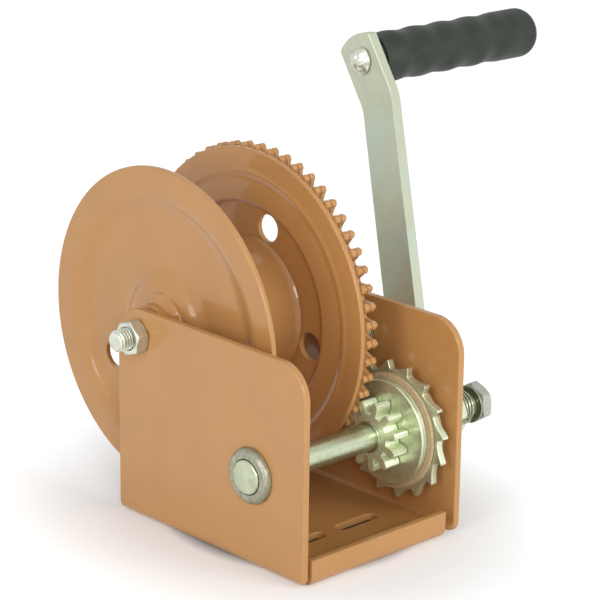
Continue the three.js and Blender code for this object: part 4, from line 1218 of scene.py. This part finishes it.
class WINCH_OT_grip(bpy.types.Operator):
    """Make the grip with its riveted pin and washer"""

    bl_idname = "winch.grip"
    bl_label = "Grip"
    bl_options = {"REGISTER", "UNDO"}

    def execute(self, context):
        sizes = context.scene.winch_sizes
        low, high, head_r, _ = measured("grip_pin", GRIP)
        face = span("crank_arm")[1] - BAR_THICK
        pin = turned([
            (low - 1.9, 0), (low - 1.8, 2.4), (low - 1.3, 4.6, 0.8), (low + 0.6, head_r - 1.0, 1.0),
            (face - 0.7, head_r, 0.5), (face - 0.3, head_r - 0.5), (face - 0.3, 5), (high, 5, 0.5),
            (high, 0),
        ], FINE_STEPS)
        # The rivet set's blows leave uneven hollows and lobes.
        for vert in pin.verts:
            r, a = polar(vert)
            if vert.co.x < face - 0.8:
                share = math.sin(math.pi * min(1, r / head_r)) ** 1.2
                lobes = math.sin(3 * a + 0.6) + 0.6 * math.sin(5 * a + 2 + r)
                lobes += 0.5 * math.sin(2 * a)
                vert.co.x += 0.55 * share * (lobes + 0.5)
                swell = 1 + 0.05 * math.sin(3 * a + 1) + 0.03 * math.sin(7 * a)
                vert.co.y *= swell
                vert.co.z *= swell
        finished(pin, "riveted_pin", "crank", "bright_zinc", ["grip_pin"], GRIP)
        ring("grip_washer", "grip_washer_moulded", "crank", "plastic", GRIP, 0.4)

        low, high = span("grip")
        radius, waves, wave_l, start_round, end_round = 13.9, 4.5, 21.8, 1.2, 8.0
        bore, bore_end, count = 5.3, high - 9, 12
        profile = [(bore_end, 0), (bore_end, bore), (low, bore), (low, radius - sizes.wave, 0.9)]
        for i in range(1, int(waves * count) + 1):
            wave = sizes.wave * math.cos(math.tau * i / count)
            profile.append((low + start_round + i * wave_l / count, radius - wave))
        end_r = radius + sizes.wave - end_round
        for i in range(11):
            a = QUARTER * i / 10
            profile.append((
                high - end_round + end_round * math.sin(a), end_r + end_round * math.cos(a)
            ))
        profile.append((high, 0))
        finished(turned(profile, FINE_STEPS), "waved_grip", "grip", "plastic", ["grip"], GRIP)
        return {"FINISHED"}


# Stage


def lamp(name, place, width, height, watts):
    """A soft rectangular lamp aimed at the winch's middle."""
    middle = Vector((0.0, 0.02, 0.1))
    data = bpy.data.lights.new(name, "AREA")
    data.shape = "RECTANGLE"
    data.size, data.size_y, data.energy = width, height, watts
    obj = linked(name, data)
    obj.location = place
    obj.rotation_euler = (middle - Vector(place)).to_track_quat("-Z", "Y").to_euler()


def seen_or_mirrored(tree):
    """One where the camera, a reflection or a clear piece looks, else nought."""
    path = node(tree, "LightPath", {})
    seen = path["Is Camera Ray"]
    for ray in ("Is Glossy Ray", "Is Transmission Ray"):
        seen = node(tree, "Math", {0: seen, 1: path[ray]}, operation="MAXIMUM")[0]
    return seen


def pale_floor(base):
    """A pale floor that glows a little, and more with distance; beneath the winch a painted shadow
    darkens it and takes its glow away.
    """
    floor = Finish("pale_floor", Roughness=0.75, Specular_IOR_Level=0.25)
    tree = floor.tree
    at = floor.mapped()
    tone = floor.shades(floor.noise(at, 0.01, 3), base, (0.3, 0.985), (0.7, 1))
    place = node(tree, "Mapping", {"Vector": floor.place, "Scale": (9, 7.5, 1)})[0]
    far = node(tree, "VectorMath", {0: place}, operation="LENGTH")["Value"]
    # Beneath the winch the floor's colour is darkened and its glow taken away: a painted shadow.
    painted_shadow_beneath = floor.spread(far, 1, 0, 0.42, 0.56)
    floor.done(floor.blended(painted_shadow_beneath, tone, tinted(base, 0.06)))
    light = floor.blended(painted_shadow_beneath, (1, 1, 1, 1), (0, 0, 0, 1))
    rise = node(tree, "MapRange", {
        "Value": far, "From Min": 0.55, "From Max": 1.6, "To Min": 0.16, "To Max": 0.62,
    }, interpolation_type="SMOOTHSTEP")[0]
    level = node(tree, "Math", {0: seen_or_mirrored(tree), 1: rise}, operation="MULTIPLY")[0]
    glow = node(tree, "Emission", {"Color": light, "Strength": level})[0]
    both = node(tree, "AddShader", {0: floor.shader.outputs[0], 1: glow})[0]
    tree.links.new(both, tree.nodes["Material Output"].inputs["Surface"])
    return floor.material


class WINCH_OT_stage(bpy.types.Operator):
    """Make the floor, the lamps, the white world and the camera"""

    bl_idname = "winch.stage"
    bl_label = "Stage"
    bl_options = {"REGISTER", "UNDO"}

    def execute(self, context):
        scene = context.scene
        bm = bmesh.new()
        bmesh.ops.create_grid(bm, x_segments=1, y_segments=1, size=9.0)
        floor = held(bm, "floor")
        floor.data.materials.append(pale_floor(scene.winch_colours.floor))

        world = bpy.data.worlds.new("white room")
        scene.world = world
        world.use_nodes = True
        tree = world.node_tree
        sky = tree.nodes["Background"]
        sky.inputs["Color"].default_value = (1, 1, 1, 1)
        strength = node(tree, "MapRange", {
            "Value": seen_or_mirrored(tree), "To Min": 0.37, "To Max": 1.0,
        })[0]
        tree.links.new(strength, sky.inputs["Strength"])

        lamp("left", (-1.6, -0.22, 0.68), 0.7, 0.9, 10)
        lamp("front", (0.4, -1.55, 0.68), 0.9, 0.8, 11.3)
        lamp("glint", (-0.95, -1.3, 0.75), 0.45, 0.45, 7.5)

        scene.view_settings.view_transform = "Standard"
        data = bpy.data.cameras.new("photo_view")
        data.sensor_width = 36
        data.lens = 142.79
        data.clip_start, data.clip_end = 0.05, 60
        camera = linked("photo_view", data)
        right = Vector((0.72587, -0.68772, 0.01254)).normalized()
        up = Vector((0.19579, 0.22406, 0.95470)).normalized()
        turn = Matrix((right, up, right.cross(up))).transposed()
        camera.matrix_world = Matrix.Translation((-0.79503, -0.83955, 0.48078)) @ turn.to_4x4()
        scene.camera = camera
        return {"FINISHED"}


MAKERS = (
    WINCH_OT_side_frame, WINCH_OT_drum, WINCH_OT_gear, WINCH_OT_pinion_shaft, WINCH_OT_bushes,
    WINCH_OT_axle, WINCH_OT_brake, WINCH_OT_pawl, WINCH_OT_crank_hub, WINCH_OT_crank_arm,
    WINCH_OT_crank_spring, WINCH_OT_end_nut, WINCH_OT_grip, WINCH_OT_stage,
)


class VIEW3D_PT_winch(bpy.types.Panel):
    """The winch's makers, sizes and colours"""

    bl_label = "Hand winch"
    bl_space_type = "VIEW_3D"
    bl_region_type = "UI"
    bl_category = "Winch"

    def draw(self, context):
        for maker in MAKERS:
            self.layout.operator(maker.bl_idname)
        for group in (context.scene.winch_sizes, context.scene.winch_colours):
            box = self.layout.box()
            for name in group.bl_rna.properties.keys():
                if name not in ("rna_type", "name"):
                    box.prop(group, name)


CLASSES = (WinchSizes, WinchColours, *MAKERS, VIEW3D_PT_winch)


def register():
    for cls in CLASSES:
        bpy.utils.register_class(cls)
    bpy.types.Scene.winch_sizes = PointerProperty(type=WinchSizes)
    bpy.types.Scene.winch_colours = PointerProperty(type=WinchColours)


def unregister():
    del bpy.types.Scene.winch_colours
    del bpy.types.Scene.winch_sizes
    for cls in reversed(CLASSES):
        bpy.utils.unregister_class(cls)


def main():
    register()
    for maker in MAKERS:
        group, name = maker.bl_idname.split(".")
        getattr(getattr(bpy.ops, group), name)()


if __name__ == "__main__":
    main()
